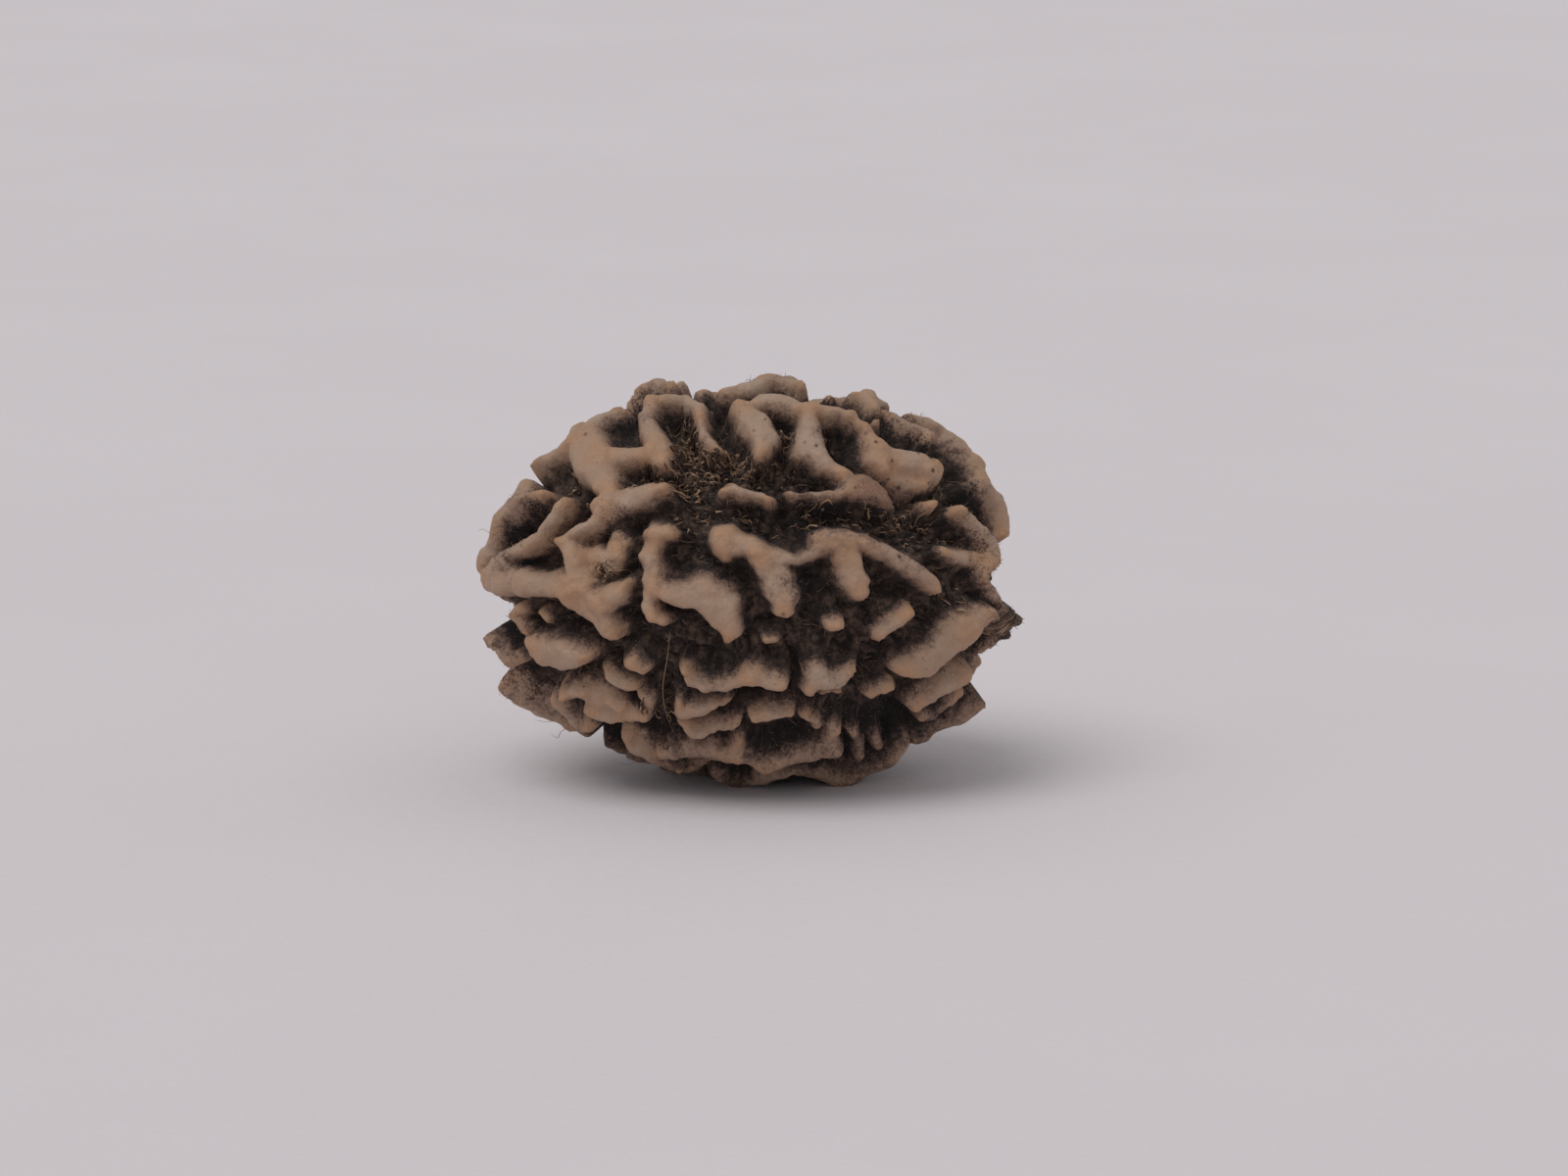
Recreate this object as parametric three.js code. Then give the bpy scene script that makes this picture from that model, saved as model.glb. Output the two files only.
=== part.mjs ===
// The stone of a rudraksha fruit: one hard, woody seed with a deep net of knobbly ridges.
// Millimetres, +Z up. The seed lies on its side, and the axis from pole to pole is along X.
// The origin is on the surface that it lies on, under the middle of the seed.

import * as THREE from 'three';
import { mergeVertices } from 'three/addons/utils/BufferGeometryUtils.js';

// Driving dimensions
const HALF_LENGTH = 13.25; // from the middle to a pole, at the ridge tops
const HALF_GIRTH = 10.05; // from the axis to the ridge tops, at the waist
const AXIS_HEIGHT = 9.85; // the axis stands this high, so the lowest ridges are worn flat
const FURROW_DEPTH = 2.0; // from the ridge tops down to the floor of the furrows
const FLANK = 0.6; // how far a ridge's foot spreads beyond its half width
const LEVEL = 0.4; // share of the half width that stays level, on the ridge's back
const FLOOR_SWELL = 0.14; // how far the furrow floor rises and falls
const CREST_SWELL = 0.07; // share by which the ridge tops rise and fall
const WANDER = 0.16; // how far a ridge strays from the straight between its points
const COPIED_TURN = 72; // ridges within this many degrees of the front recur at the back

// How finely the surface is divided
const CELLS = 30; // cells along each side of the cube that the surface starts from
const RELAX_ROUNDS = 9; // rounds that draw the cells towards the steep flanks
const RELAX_SHARE = 0.6;

// Ridge points are [lean, turn, half width, height]. Lean is in degrees from the waist
// towards the pole on +X. Turn is in degrees round the axis: 0 faces -Y, 90 is on top.
// The half width is in mm. The height is a share of the furrow depth, 1 where left out.
const FRONT_RIDGES = [
  // The long fork from the left pole, round a deep pit
  [[-80, 8, 0.75], [-71, 9, 1.1], [-62, 8.5, 0.9], [-54, 7.5, 0.7], [-47, 7.5, 0.7], [-40, 8, 0.9]],
  [[-77, 16, 0.6], [-66, 22, 0.7], [-58, 27, 0.6], [-50, 31, 0.5], [-46, 36, 0.45], [-43, 41, 0.3]],
  [[-44, 25, 0.35], [-41, 21, 0.6], [-40, 14, 0.7], [-38, 7, 0.9]],
  [[-43, 25, 0.45, 0.95], [-38, 28.5, 0.35], [-33, 30.5, 0.4], [-31.5, 35, 0.6]],
  [[-41, 5, 1.1], [-36, 1, 1.2], [-32, -3, 0.8], [-29, -7.5, 0.4]],
  [[-33, 3, 0.8], [-28.5, 5, 0.6], [-26.7, 8.5, 0.3]],
  [[-37, 18, 0.9, 0.6], [-32, 15, 0.8, 0.6], [-30, 22, 0.9, 0.6]],
  // The hook and its broad toe
  [[-22, 24, 0.45], [-18, 24.5, 0.6], [-16.5, 24, 0.35]],
  [[-20, 23, 0.75], [-21.2, 17, 0.6], [-20.8, 10, 0.65], [-21.3, 4, 0.4], [-20, -1, 0.35]],
  [[-20, -1, 0.35], [-18, -2.5, 0.25]],
  [[-20, 9, 0.7], [-14, 6, 0.85], [-9, 6, 1.15], [-6, 2, 1.2], [-4.5, -3, 0.85], [-5, -6.5, 0.3]],
  // The long broad ridge over the middle, with its two hanging toes
  [[-5.5, 22, 0.7], [-6, 19.5, 0.6]],
  [[-5, 21.5, 0.7], [0, 20.5, 0.5], [5, 16.5, 0.55], [9.5, 15, 0.25], [13, 17, 0.3], [17, 21, 0.65]],
  [[2, 17, 0.7], [5, 11.5, 1.0], [7.5, 6, 1.0], [7.5, 2, 0.65]],
  [[14.5, 22, 0.4], [20, 23, 0.55], [24, 22, 0.5]],
  [[20.5, 20, 0.9], [21.5, 14, 0.95], [23, 9, 0.9], [23.5, 7, 0.7]],
  [[24, 21.5, 0.5], [30, 19, 0.5], [34, 16.5, 0.65], [38.5, 12, 0.65], [42, 8, 0.55], [43, 6.5, 0.45]],
  // Islands in the long furrow below it
  [[17, -3.5, 0.35, 0.95], [19.5, -3.3, 0.35, 0.95]],
  [[35.3, -1, 0.4, 0.92], [32, -5, 0.4, 0.92], [28.5, -9, 0.25, 0.85]],
  [[3.4, -8, 0.2, 0.8], [5.4, -7.8, 0.2, 0.8]],
  [[-25, -15.5, 0.4, 0.95], [-22.5, -17.2, 0.3, 0.95]],
  // The first row below the furrow
  [[-13.5, -17, 0.25], [-12.5, -20.5, 0.35], [-9, -21.5, 0.4], [-4, -20.5, 0.5], [0, -18.3, 0.75]],
  [[0, -18.3, 0.75], [4, -19.5, 0.55], [7, -20, 0.3]],
  [[12.2, -23.3, 0.45], [15, -18.3, 0.75], [14.5, -20, 0.8], [19.5, -20.8, 0.5], [22, -18, 0.25]],
  [[34, -23, 0.65], [40, -21.7, 0.95], [47, -19.5, 1.1], [53, -16, 1.1]],
  [[53, -16, 1.1], [58.5, -12.5, 0.8], [61, -10.5, 0.45]],
  // The second row
  [[-15, -28.5, 0.3, 0.95], [-14.3, -32.5, 0.45, 0.95], [-10, -30, 0.35, 0.95], [-5, -27.5, 0.2, 0.9]],
  [[-14, -36, 0.3], [-12.5, -40, 0.4], [-8, -37.8, 0.35], [-4, -35, 0.3], [-2.2, -33.2, 0.2]],
  [[1.5, -31.7, 0.4, 0.95], [5, -31, 0.45, 0.95], [9, -30, 0.25, 0.9]],
  [[12, -35.5, 0.35, 0.75], [14, -38, 0.4, 0.75], [14.7, -41.5, 0.3, 0.7]],
  [[15.5, -27, 0.15, 0.7], [19, -27.5, 0.15, 0.7]],
  [[26.5, -29.8, 0.25, 0.85], [31, -29.8, 0.25, 0.85]],
  [[37.5, -40, 0.4], [42, -40.5, 0.6], [48, -41.5, 0.75], [52.5, -43, 0.7]],
  // The undercut rim of the belly
  [[-19.5, -55.5, 0.35], [-14, -51.5, 0.55], [-8, -49.5, 0.8], [-3, -52, 0.85], [3, -55, 0.55]],
  [[3, -55, 0.55], [9, -53, 0.6], [15, -52, 0.75], [19, -52.5, 0.45]],
  [[-4, -51, 0.8, 0.95], [-2.2, -43.5, 0.4, 0.95]],
  [[17.5, -51, 0.7, 0.93], [18.2, -43, 0.45, 0.93]],
  [[23.5, -66, 0.5, 0.9], [23.5, -55, 0.35, 0.9], [23, -48, 0.25, 0.85]],
  [[28.5, -66, 0.4, 0.88], [27.8, -55, 0.3, 0.85]],
  // The lower left
  [[-54, -25, 0.75], [-49, -24, 1.0], [-44, -21.5, 1.1], [-39, -19, 0.8], [-36.5, -17.5, 0.35]],
  [[-60, -7, 0.45, 0.85], [-62.5, -14, 0.45, 0.85], [-59, -21, 0.55, 0.85]],
  [[-53, -7, 0.25, 0.7], [-51, -11, 0.25, 0.7]],
  [[-44, -41, 0.35, 0.95], [-38, -37, 0.75], [-32, -38.5, 0.8], [-27, -40, 0.6], [-23.5, -38, 0.35]],
  [[-33.5, -25, 0.2, 0.8], [-29, -27.3, 0.28, 0.8], [-25, -26.7, 0.2, 0.8]],
  [[-25, -29, 0.15, 0.85], [-22.5, -31, 0.3, 0.85], [-23, -36, 0.35, 0.85]],
  [[-27.5, -51, 0.4], [-24.5, -58, 0.75], [-20, -63, 0.65], [-15, -66, 0.4]],
  // The upper left net
  [[-33, 36, 0.5], [-28, 37.5, 0.55], [-22, 37.5, 0.45], [-18.5, 37.5, 0.3]],
  [[-31, 31.5, 0.5, 0.95], [-32, 36, 0.55]],
  // Islands above the long ridge
  [[-6, 36, 0.35, 0.95], [-3, 37, 0.4], [1, 35, 0.3], [4.3, 33, 0.2, 0.9]],
  [[8.8, 35.5, 0.3], [13, 35.5, 0.25], [18, 36.5, 0.4], [21.5, 38.5, 0.75], [26, 39, 0.85], [29, 37.3, 0.5]],
  [[42, 40, 0.35, 0.9], [43, 41.5, 0.3, 0.9]],
  // The right shoulder
  [[50, 42, 0.25], [55, 40, 0.35], [60, 36, 0.5], [64.5, 29, 0.6], [63, 20, 0.7], [60, 14, 0.4]],
  [[61, 20, 0.6, 0.75], [55, 21, 0.5, 0.75], [48, 21, 0.35, 0.7]],
];

const CROWN_RIDGES = [
  [[-37.5, 71, 0.9], [-36.5, 62, 1.2], [-35, 54, 1.0], [-33, 47, 0.7], [-31.5, 41, 0.5]],
  [[-33.5, 57, 0.9, 0.95], [-27, 53, 0.5, 0.95], [-22, 52, 0.75]],
  [[-21, 77, 0.45], [-22.3, 68, 0.6], [-21.5, 60, 0.7], [-20, 53, 0.85], [-19, 48.5, 0.7]],
  [[-21, 77, 0.45], [-17, 78, 0.5], [-12.8, 75, 0.4], [-11, 69, 0.4], [-11, 63, 0.3]],
  [[-11, 63, 0.3], [-9.8, 56, 0.35], [-7.5, 51.5, 0.35], [-6, 49.5, 0.2]],
  [[-53.5, 81, 0.25], [-50, 78, 0.45, 1.02], [-45, 74, 0.6, 1.02], [-41, 72, 0.6]],
  [[-39, 78, 0.6, 0.95], [-34, 83, 0.5, 0.9], [-28, 85, 0.35, 0.8]],
  [[-24, 98, 0.45, 1.05], [-20, 97, 0.7, 1.1], [-16.5, 90, 0.4]],
  [[-26, 87, 0.3, 0.95], [-24, 90, 0.3, 0.95]],
  [[-1.5, 67, 0.6], [0.5, 61, 1.0], [3, 55, 0.85], [2.7, 50, 0.55], [2, 47.5, 0.3]],
  [[-1.5, 68, 0.6], [3, 71, 0.8], [8, 70, 0.7], [13, 68, 0.6], [18, 68.5, 0.5], [22, 67, 0.4]],
  [[22, 67, 0.4], [24.5, 63.5, 0.4]],
  [[12.5, 67, 0.7], [12.7, 61, 0.65], [12, 56, 0.8], [13, 51, 0.9], [16, 46.5, 0.7], [20, 43.5, 0.4]],
  [[26, 63, 0.55], [27, 57, 0.95], [28, 51.5, 0.9], [29, 48, 0.55]],
  [[28, 56, 0.8, 0.97], [34, 56, 0.8, 0.97], [38, 57.5, 0.85], [42.5, 57.5, 0.9]],
  [[28, 72.5, 0.25, 0.9], [29, 74, 0.2, 0.9]],
  [[-5.5, 77, 0.45], [0, 80, 0.55], [4, 86, 0.75], [9, 88, 0.8], [11, 83, 0.35]],
  [[21.5, 85, 0.35], [26, 89, 0.75, 1.17], [27.5, 82, 0.5]],
  [[30, 86, 0.35, 0.85], [34, 83, 0.5, 0.95], [38, 83, 0.6], [41, 86, 0.45], [42, 78, 0.3]],
  [[35, 92, 0.35, 0.9], [40, 96, 0.5, 1.05], [45, 99, 0.6, 1.15], [51, 98, 0.65, 1.2], [56, 96, 0.6, 1.15]],
  [[56, 96, 0.6, 1.15], [60.5, 88, 0.45]],
];

// Round the poles
const POLE_RIDGES = [
  [[-50, 50, 0.35, 1.05], [-56, 54, 0.45, 1.05], [-63, 61, 0.55, 1.05], [-71, 66, 0.6]],
  [[-71, 66, 0.6], [-78, 57, 0.5], [-82, 30, 0.4]],
  [[56, 66, 0.4], [61, 74, 0.6, 1.05], [67, 78, 0.7, 1.05], [72, 68, 0.65], [72, 57, 0.35]],
  [[60, 10, 0.3, 0.9], [66, -8, 0.4], [71, -25, 0.45, 1.15], [75, -42, 0.45, 1.28]],
  [[63, -15, 0.4, 0.9], [68, -27, 0.5, 0.95], [70, -40, 0.4, 1.1]],
  [[70, -40, 0.4, 1.1], [65, -43, 0.3, 0.85], [61, -43, 0.25, 0.7]],
  [[-71, -47, 0.3, 1.18], [-67, -51, 0.4, 1.05], [-62, -53, 0.4]],
];

// Over the top and down the far side. Between them the clefts of the crown run on.
const FAR_CROWN_RIDGES = [
  [[-21, 105, 0.6, 0.9], [-19, 112, 0.55, 0.95], [-21, 122, 0.7], [-27, 128, 0.6]],
  [[0, 92, 0.5, 0.8], [3, 101, 0.7, 0.9], [-1, 110, 0.7, 0.8], [2, 119, 0.7, 0.95], [8, 125, 0.6]],
  [[3, 101, 0.7, 0.9], [9, 106, 0.6, 0.95], [10, 114, 0.5, 0.9]],
  [[26, 92, 0.6], [25, 99, 0.6], [29, 107, 0.8], [24, 115, 0.7], [29, 123, 0.6]],
  [[24, 115, 0.7], [17, 121, 0.5, 0.8], [15, 130, 0.7], [9, 134, 0.5]],
  [[42, 106, 0.6], [37, 113, 0.7], [42, 122, 0.7], [37, 130, 0.5]],
  [[-31, 97, 0.5, 0.65], [-37, 103, 0.6, 0.7], [-43, 111, 0.7, 0.9], [-39, 118, 0.8], [-45, 126, 0.6]],
  [[-39, 118, 0.8], [-31, 114, 0.5, 0.9]],
  [[-13, 124, 0.5, 0.85], [-6, 128, 0.7], [-11, 135, 0.5]],
  [[52, 107, 0.6], [56, 117, 0.7], [50, 126, 0.6]],
  [[64, 94, 0.5, 0.95], [67, 106, 0.6, 0.95], [63, 120, 0.6]],
  [[-58, 130, 0.5], [-65, 124, 0.5, 0.9], [-72, 130, 0.5, 0.9]],
];

const BELLY_RIDGES = [
  // The lowest row in front, with two of the feet
  [[-8, -67, 0.45], [-5, -71, 0.6], [-2, -79, 0.9, 1.14]],
  [[-2, -79, 0.9, 1.14], [4, -68, 0.45, 0.95], [9, -67, 0.3, 0.95], [14, -71, 0.6], [19, -79, 0.9, 1.4]],
  [[19, -79, 0.9, 1.4], [25, -76, 0.6, 1.2], [31, -75, 0.6, 1.22], [35, -72, 0.45, 1.1]],
  [[38, -76, 0.45, 1.1], [44, -76, 0.5, 1.15], [50, -75, 0.5, 1.32], [54.5, -74, 0.3, 1.42]],
  [[-62, -72, 0.25, 1.42], [-57, -76, 0.45, 1.35], [-50, -78, 0.55, 1.22], [-42, -80, 0.5, 1.02]],
  [[-42, -80, 0.5, 1.02], [-38, -80, 0.35]],
  // The underside, with the feet at the back
  [[-22, -84, 0.6, 0.8], [-18, -92, 0.8, 0.9], [-17, -100, 1.0, 1.3], [-10, -106, 0.8], [-3, -102, 0.8]],
  [[-3, -102, 0.8], [7, -103, 1.1, 1.25]],
  [[-18, -92, 0.8, 0.9], [-9, -88, 0.8, 0.9], [-2, -79, 0.9, 1.14]],
  [[7, -103, 1.1, 1.25], [11, -95, 0.8, 0.95], [16, -90, 0.8, 0.95], [19, -79, 0.9, 1.4]],
  [[26, -92, 0.7], [33, -95, 0.8], [38, -88, 0.6]],
  [[-32, -90, 0.6], [-26, -97, 0.8], [-30, -105, 0.7]],
  [[-37, -60, 0.4, 0.9], [-42, -67, 0.6, 0.95], [-48, -62, 0.5, 0.9]],
  [[-9, -60, 0.3, 0.8], [-15, -74, 0.5, 0.9], [-26, -76, 0.5, 0.9]],
  [[40, -56, 0.4, 0.85], [44, -64, 0.5, 0.9], [51, -60, 0.5, 0.9]],
  [[30, -84, 0.4, 0.9], [40, -87, 0.6, 0.95], [48, -86, 0.5, 0.9]],
  [[-42, -88, 0.5, 0.95], [-52, -90, 0.6], [-60, -88, 0.4, 0.9]],
  [[-44, -98, 0.6], [-50, -106, 0.7], [-56, -112, 0.5]],
  [[46, -100, 0.6], [52, -108, 0.7], [58, -114, 0.5]],
  [[18, -104, 0.6], [26, -107, 0.7]],
];

const radians = THREE.MathUtils.degToRad;

// The far side carries the same kind of net: the near ridges, turned half round the axis
const BACK_RIDGES = [...FRONT_RIDGES, ...CROWN_RIDGES]
  .filter((ridge) => ridge.every(([, turn]) => Math.abs(turn) <= COPIED_TURN))
  .map((ridge) => ridge.map(([lean, turn, width, height]) => [lean, turn + 180, width, height]));

function onCrest(lean, turn) {
  const around = HALF_GIRTH * Math.cos(radians(lean));
  return new THREE.Vector3(
    HALF_LENGTH * Math.sin(radians(lean)),
    -around * Math.cos(radians(turn)),
    around * Math.sin(radians(turn)),
  );
}

// Each ridge becomes a row of straight lengths between its points
function ridgeLengths(ridge) {
  const points = ridge.map(([lean, turn, width, height = 1]) => ({
    place: onCrest(lean, turn), width, height,
  }));
  return points.slice(1).map((end, i) => {
    const start = points[i];
    const middle = start.place.clone().add(end.place).divideScalar(2);
    const reach = start.place.distanceTo(end.place) / 2 + Math.max(start.width, end.width) + FLANK;
    return { start, end, middle, reach };
  });
}

const NET = [
  ...FRONT_RIDGES, ...CROWN_RIDGES, ...POLE_RIDGES, ...FAR_CROWN_RIDGES, ...BELLY_RIDGES, ...BACK_RIDGES,
].map(ridgeLengths);

// A smooth, uneven swell between -1 and 1, with no direction of its own
function swell(point, period, shift) {
  const x = point.x * 2 * Math.PI / period;
  const y = point.y * 2 * Math.PI / period;
  const z = point.z * 2 * Math.PI / period;
  return (Math.sin(x + 1.6 * Math.sin(0.7 * y + shift) + shift)
    + Math.sin(y + 1.6 * Math.sin(0.8 * z + 2 * shift) + 1.3)
    + Math.sin(z + 1.6 * Math.sin(0.6 * x + 3 * shift) + 2.1 * shift)) / 3;
}

// A ridge's height over a point: a rounded back, then a steep flank down to the floor
const nearest = new THREE.Vector3();
function heightOver({ start, end, middle, reach }, point) {
  if (point.distanceToSquared(middle) > reach * reach) return 0;
  nearest.subVectors(end.place, start.place);
  const along = THREE.MathUtils.clamp(
    point.clone().sub(start.place).dot(nearest) / nearest.lengthSq(), 0, 1);
  nearest.multiplyScalar(along).add(start.place);
  const width = THREE.MathUtils.lerp(start.width, end.width, along);
  const height = THREE.MathUtils.lerp(start.height, end.height, along);
  const aside = (point.distanceTo(nearest) - LEVEL * width) / ((1 - LEVEL) * width + FLANK);
  return height * (0.5 + 0.5 * Math.cos(Math.PI * THREE.MathUtils.clamp(aside, 0, 1)));
}

// Where ridges meet they run together, so the heights are joined by a high power mean
const JOINING = 8;
function reliefAt(crest) {
  const strayed = new THREE.Vector3(
    crest.x + WANDER * swell(crest, 3.1, 0.4),
    crest.y + WANDER * swell(crest, 3.4, 1.9),
    crest.z + WANDER * swell(crest, 2.9, 3.2),
  );
  let total = 0;
  for (const lengths of NET) {
    const height = Math.max(...lengths.map((length) => heightOver(length, strayed)));
    total += height ** JOINING;
  }
  const ridge = total ** (1 / JOINING) * (1 + CREST_SWELL * swell(crest, 4.3, 0.9));
  return ridge + Math.max(0, 1 - ridge) * FLOOR_SWELL / FURROW_DEPTH * swell(crest, 2.6, 0.7);
}

function surfacePoint(direction) {
  const size = new THREE.Vector3(HALF_LENGTH, HALF_GIRTH, HALF_GIRTH);
  const crest = direction.clone().multiply(size);
  const outward = direction.clone().divide(size).normalize();
  const point = crest.clone().addScaledVector(outward, FURROW_DEPTH * (reliefAt(crest) - 1));
  point.z = Math.max(0, point.z + AXIS_HEIGHT);
  return point;
}

// A cube's grid, drawn out to a ball with cells of like size
function ballGrid() {
  const cube = new THREE.BoxGeometry(2, 2, 2, CELLS, CELLS, CELLS);
  cube.deleteAttribute('normal');
  cube.deleteAttribute('uv');
  const grid = mergeVertices(cube, 1e-4);
  const place = grid.getAttribute('position');
  const directions = [];
  for (let i = 0; i < place.count; i += 1) {
    const direction = new THREE.Vector3().fromBufferAttribute(place, i);
    direction.set(
      Math.tan(direction.x * Math.PI / 4),
      Math.tan(direction.y * Math.PI / 4),
      Math.tan(direction.z * Math.PI / 4),
    );
    directions.push(direction.normalize());
  }
  return { grid, directions };
}

function gridEdges(grid) {
  const index = grid.getIndex();
  const edges = new Map();
  for (let i = 0; i < index.count; i += 3) {
    for (let side = 0; side < 3; side += 1) {
      const a = index.getX(i + side);
      const b = index.getX(i + (side + 1) % 3);
      edges.set(Math.min(a, b) * index.count + Math.max(a, b), [a, b]);
    }
  }
  return [...edges.values()];
}

// Each round moves a grid point towards the neighbours that are furthest off on the
// finished surface, so the steep flanks get more of the cells
function relax(directions, edges) {
  const points = directions.map(surfacePoint);
  const pulls = directions.map(() => new THREE.Vector3());
  const weights = directions.map(() => 0);
  for (const [a, b] of edges) {
    const weight = points[a].distanceTo(points[b]);
    pulls[a].addScaledVector(directions[b], weight);
    pulls[b].addScaledVector(directions[a], weight);
    weights[a] += weight;
    weights[b] += weight;
  }
  return directions.map((direction, i) =>
    direction.clone().lerp(pulls[i].divideScalar(weights[i]), RELAX_SHARE).normalize());
}

// A cell is split along its shorter diagonal, which runs level along a flank, not across it
function splitCells(grid) {
  const index = grid.getIndex();
  const place = grid.getAttribute('position');
  const corner = (i) => new THREE.Vector3().fromBufferAttribute(place, i);
  for (let i = 0; i < index.count; i += 6) {
    const [a, b, c, d] = [index.getX(i), index.getX(i + 1), index.getX(i + 4), index.getX(i + 5)];
    if (corner(a).distanceTo(corner(c)) < corner(b).distanceTo(corner(d))) {
      [a, b, c, a, c, d].forEach((vertex, step) => index.setX(i + step, vertex));
    }
  }
}

function seedGeometry() {
  const { grid, directions } = ballGrid();
  const edges = gridEdges(grid);
  let spread = directions;
  for (let round = 0; round < RELAX_ROUNDS; round += 1) spread = relax(spread, edges);
  const place = grid.getAttribute('position');
  spread.forEach((direction, i) => {
    const point = surfacePoint(direction);
    place.setXYZ(i, point.x, point.y, point.z);
  });
  splitCells(grid);
  grid.computeVertexNormals();
  return grid;
}

const seedWood = new THREE.MeshStandardMaterial({ color: 0x7d6451, roughness: 0.72, metalness: 0 });

const stone = new THREE.Mesh(seedGeometry(), seedWood);
stone.name = 'seed_stone';

const rudraksha = new THREE.Group();
rudraksha.add(stone);

export default rudraksha;
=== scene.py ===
# %% [markdown]
# # A rudraksha seed
# A rudraksha seed is the hard stone of a blue, plum-like fruit. When the flesh is gone, a
# woody body is left with a deep net of knobbly ridges. The ridge tops are worn smooth and
# tan. The furrows hold dark dirt and the last fibres of the flesh.
# We load the measured solid first, because every piece that we make has to fit it.

# %% Load the frame
import math
import bmesh
import bpy
import numpy as np
from mathutils import Euler, Matrix, Vector, noise


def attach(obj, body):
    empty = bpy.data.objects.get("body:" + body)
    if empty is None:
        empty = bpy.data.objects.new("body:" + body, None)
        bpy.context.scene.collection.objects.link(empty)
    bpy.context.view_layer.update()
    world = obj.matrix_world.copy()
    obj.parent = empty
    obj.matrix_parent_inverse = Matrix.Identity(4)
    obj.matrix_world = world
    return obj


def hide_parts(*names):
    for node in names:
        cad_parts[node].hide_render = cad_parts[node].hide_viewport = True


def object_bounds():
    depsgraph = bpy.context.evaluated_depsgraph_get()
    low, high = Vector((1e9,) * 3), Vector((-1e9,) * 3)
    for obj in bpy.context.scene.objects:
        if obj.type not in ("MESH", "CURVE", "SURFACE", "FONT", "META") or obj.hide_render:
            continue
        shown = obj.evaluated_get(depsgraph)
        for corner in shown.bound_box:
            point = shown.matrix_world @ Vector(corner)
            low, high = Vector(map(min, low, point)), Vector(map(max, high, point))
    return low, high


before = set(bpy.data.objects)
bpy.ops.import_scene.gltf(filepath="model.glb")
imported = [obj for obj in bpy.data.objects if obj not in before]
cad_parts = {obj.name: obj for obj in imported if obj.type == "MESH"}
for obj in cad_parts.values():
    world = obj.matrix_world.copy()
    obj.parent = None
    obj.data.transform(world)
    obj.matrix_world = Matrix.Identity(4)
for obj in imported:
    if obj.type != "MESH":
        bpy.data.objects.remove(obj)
cad_low, cad_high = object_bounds()
MM = 0.001
cad_size = [round((b - a) / MM, 2) for a, b in zip(cad_low, cad_high)]
print("the solid measures", cad_size, "mm")

# %% [markdown]
# ## The shape of the stone
# Under its net the stone is an ellipsoid that lies on its side. Two angles name a place on
# it. The lean runs from the waist towards a pole. The turn runs round the long axis: 0 is
# the front, 90 the top. All sizes here are in millimetres, and become metres at the end.

# %% Driving sizes
HALF_LENGTH = 13.25  # from the middle to a pole, at the ridge tops
HALF_GIRTH = 10.05  # from the axis to the ridge tops, at the waist
AXIS_HEIGHT = 9.85  # the long axis over the floor
FURROW_DEPTH = 2.0  # from the ridge tops down to the floor of the furrows
FLANK = 0.5  # how far a ridge's foot spreads beyond its half width
LEVEL = 0.5  # share of the half width that stays level, on the ridge's back
ROUNDING = 0.2  # how much lower the edge of the back is than its middle
UNDERCUT = 0.28  # how far the furrow floors reach in under the ridges' lower edges
WANDER = 0.16  # how far a ridge strays from the straight between its points
RAGGED = 0.085  # how far the edge of a ridge's back goes in and out
CREST_SWELL = 0.09  # how much the ridge tops rise and sink, as a share of their height
FLOOR_SWELL = 0.14  # how far the furrow floors rise and sink
JOINING = 8  # the power of the mean that runs ridges together
COPIED_TURN = 72  # ridges within this many degrees of the front recur at the back
SIZE = np.array([HALF_LENGTH, HALF_GIRTH, HALF_GIRTH])
print("relief", FURROW_DEPTH, "mm on half sizes", SIZE)
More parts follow.
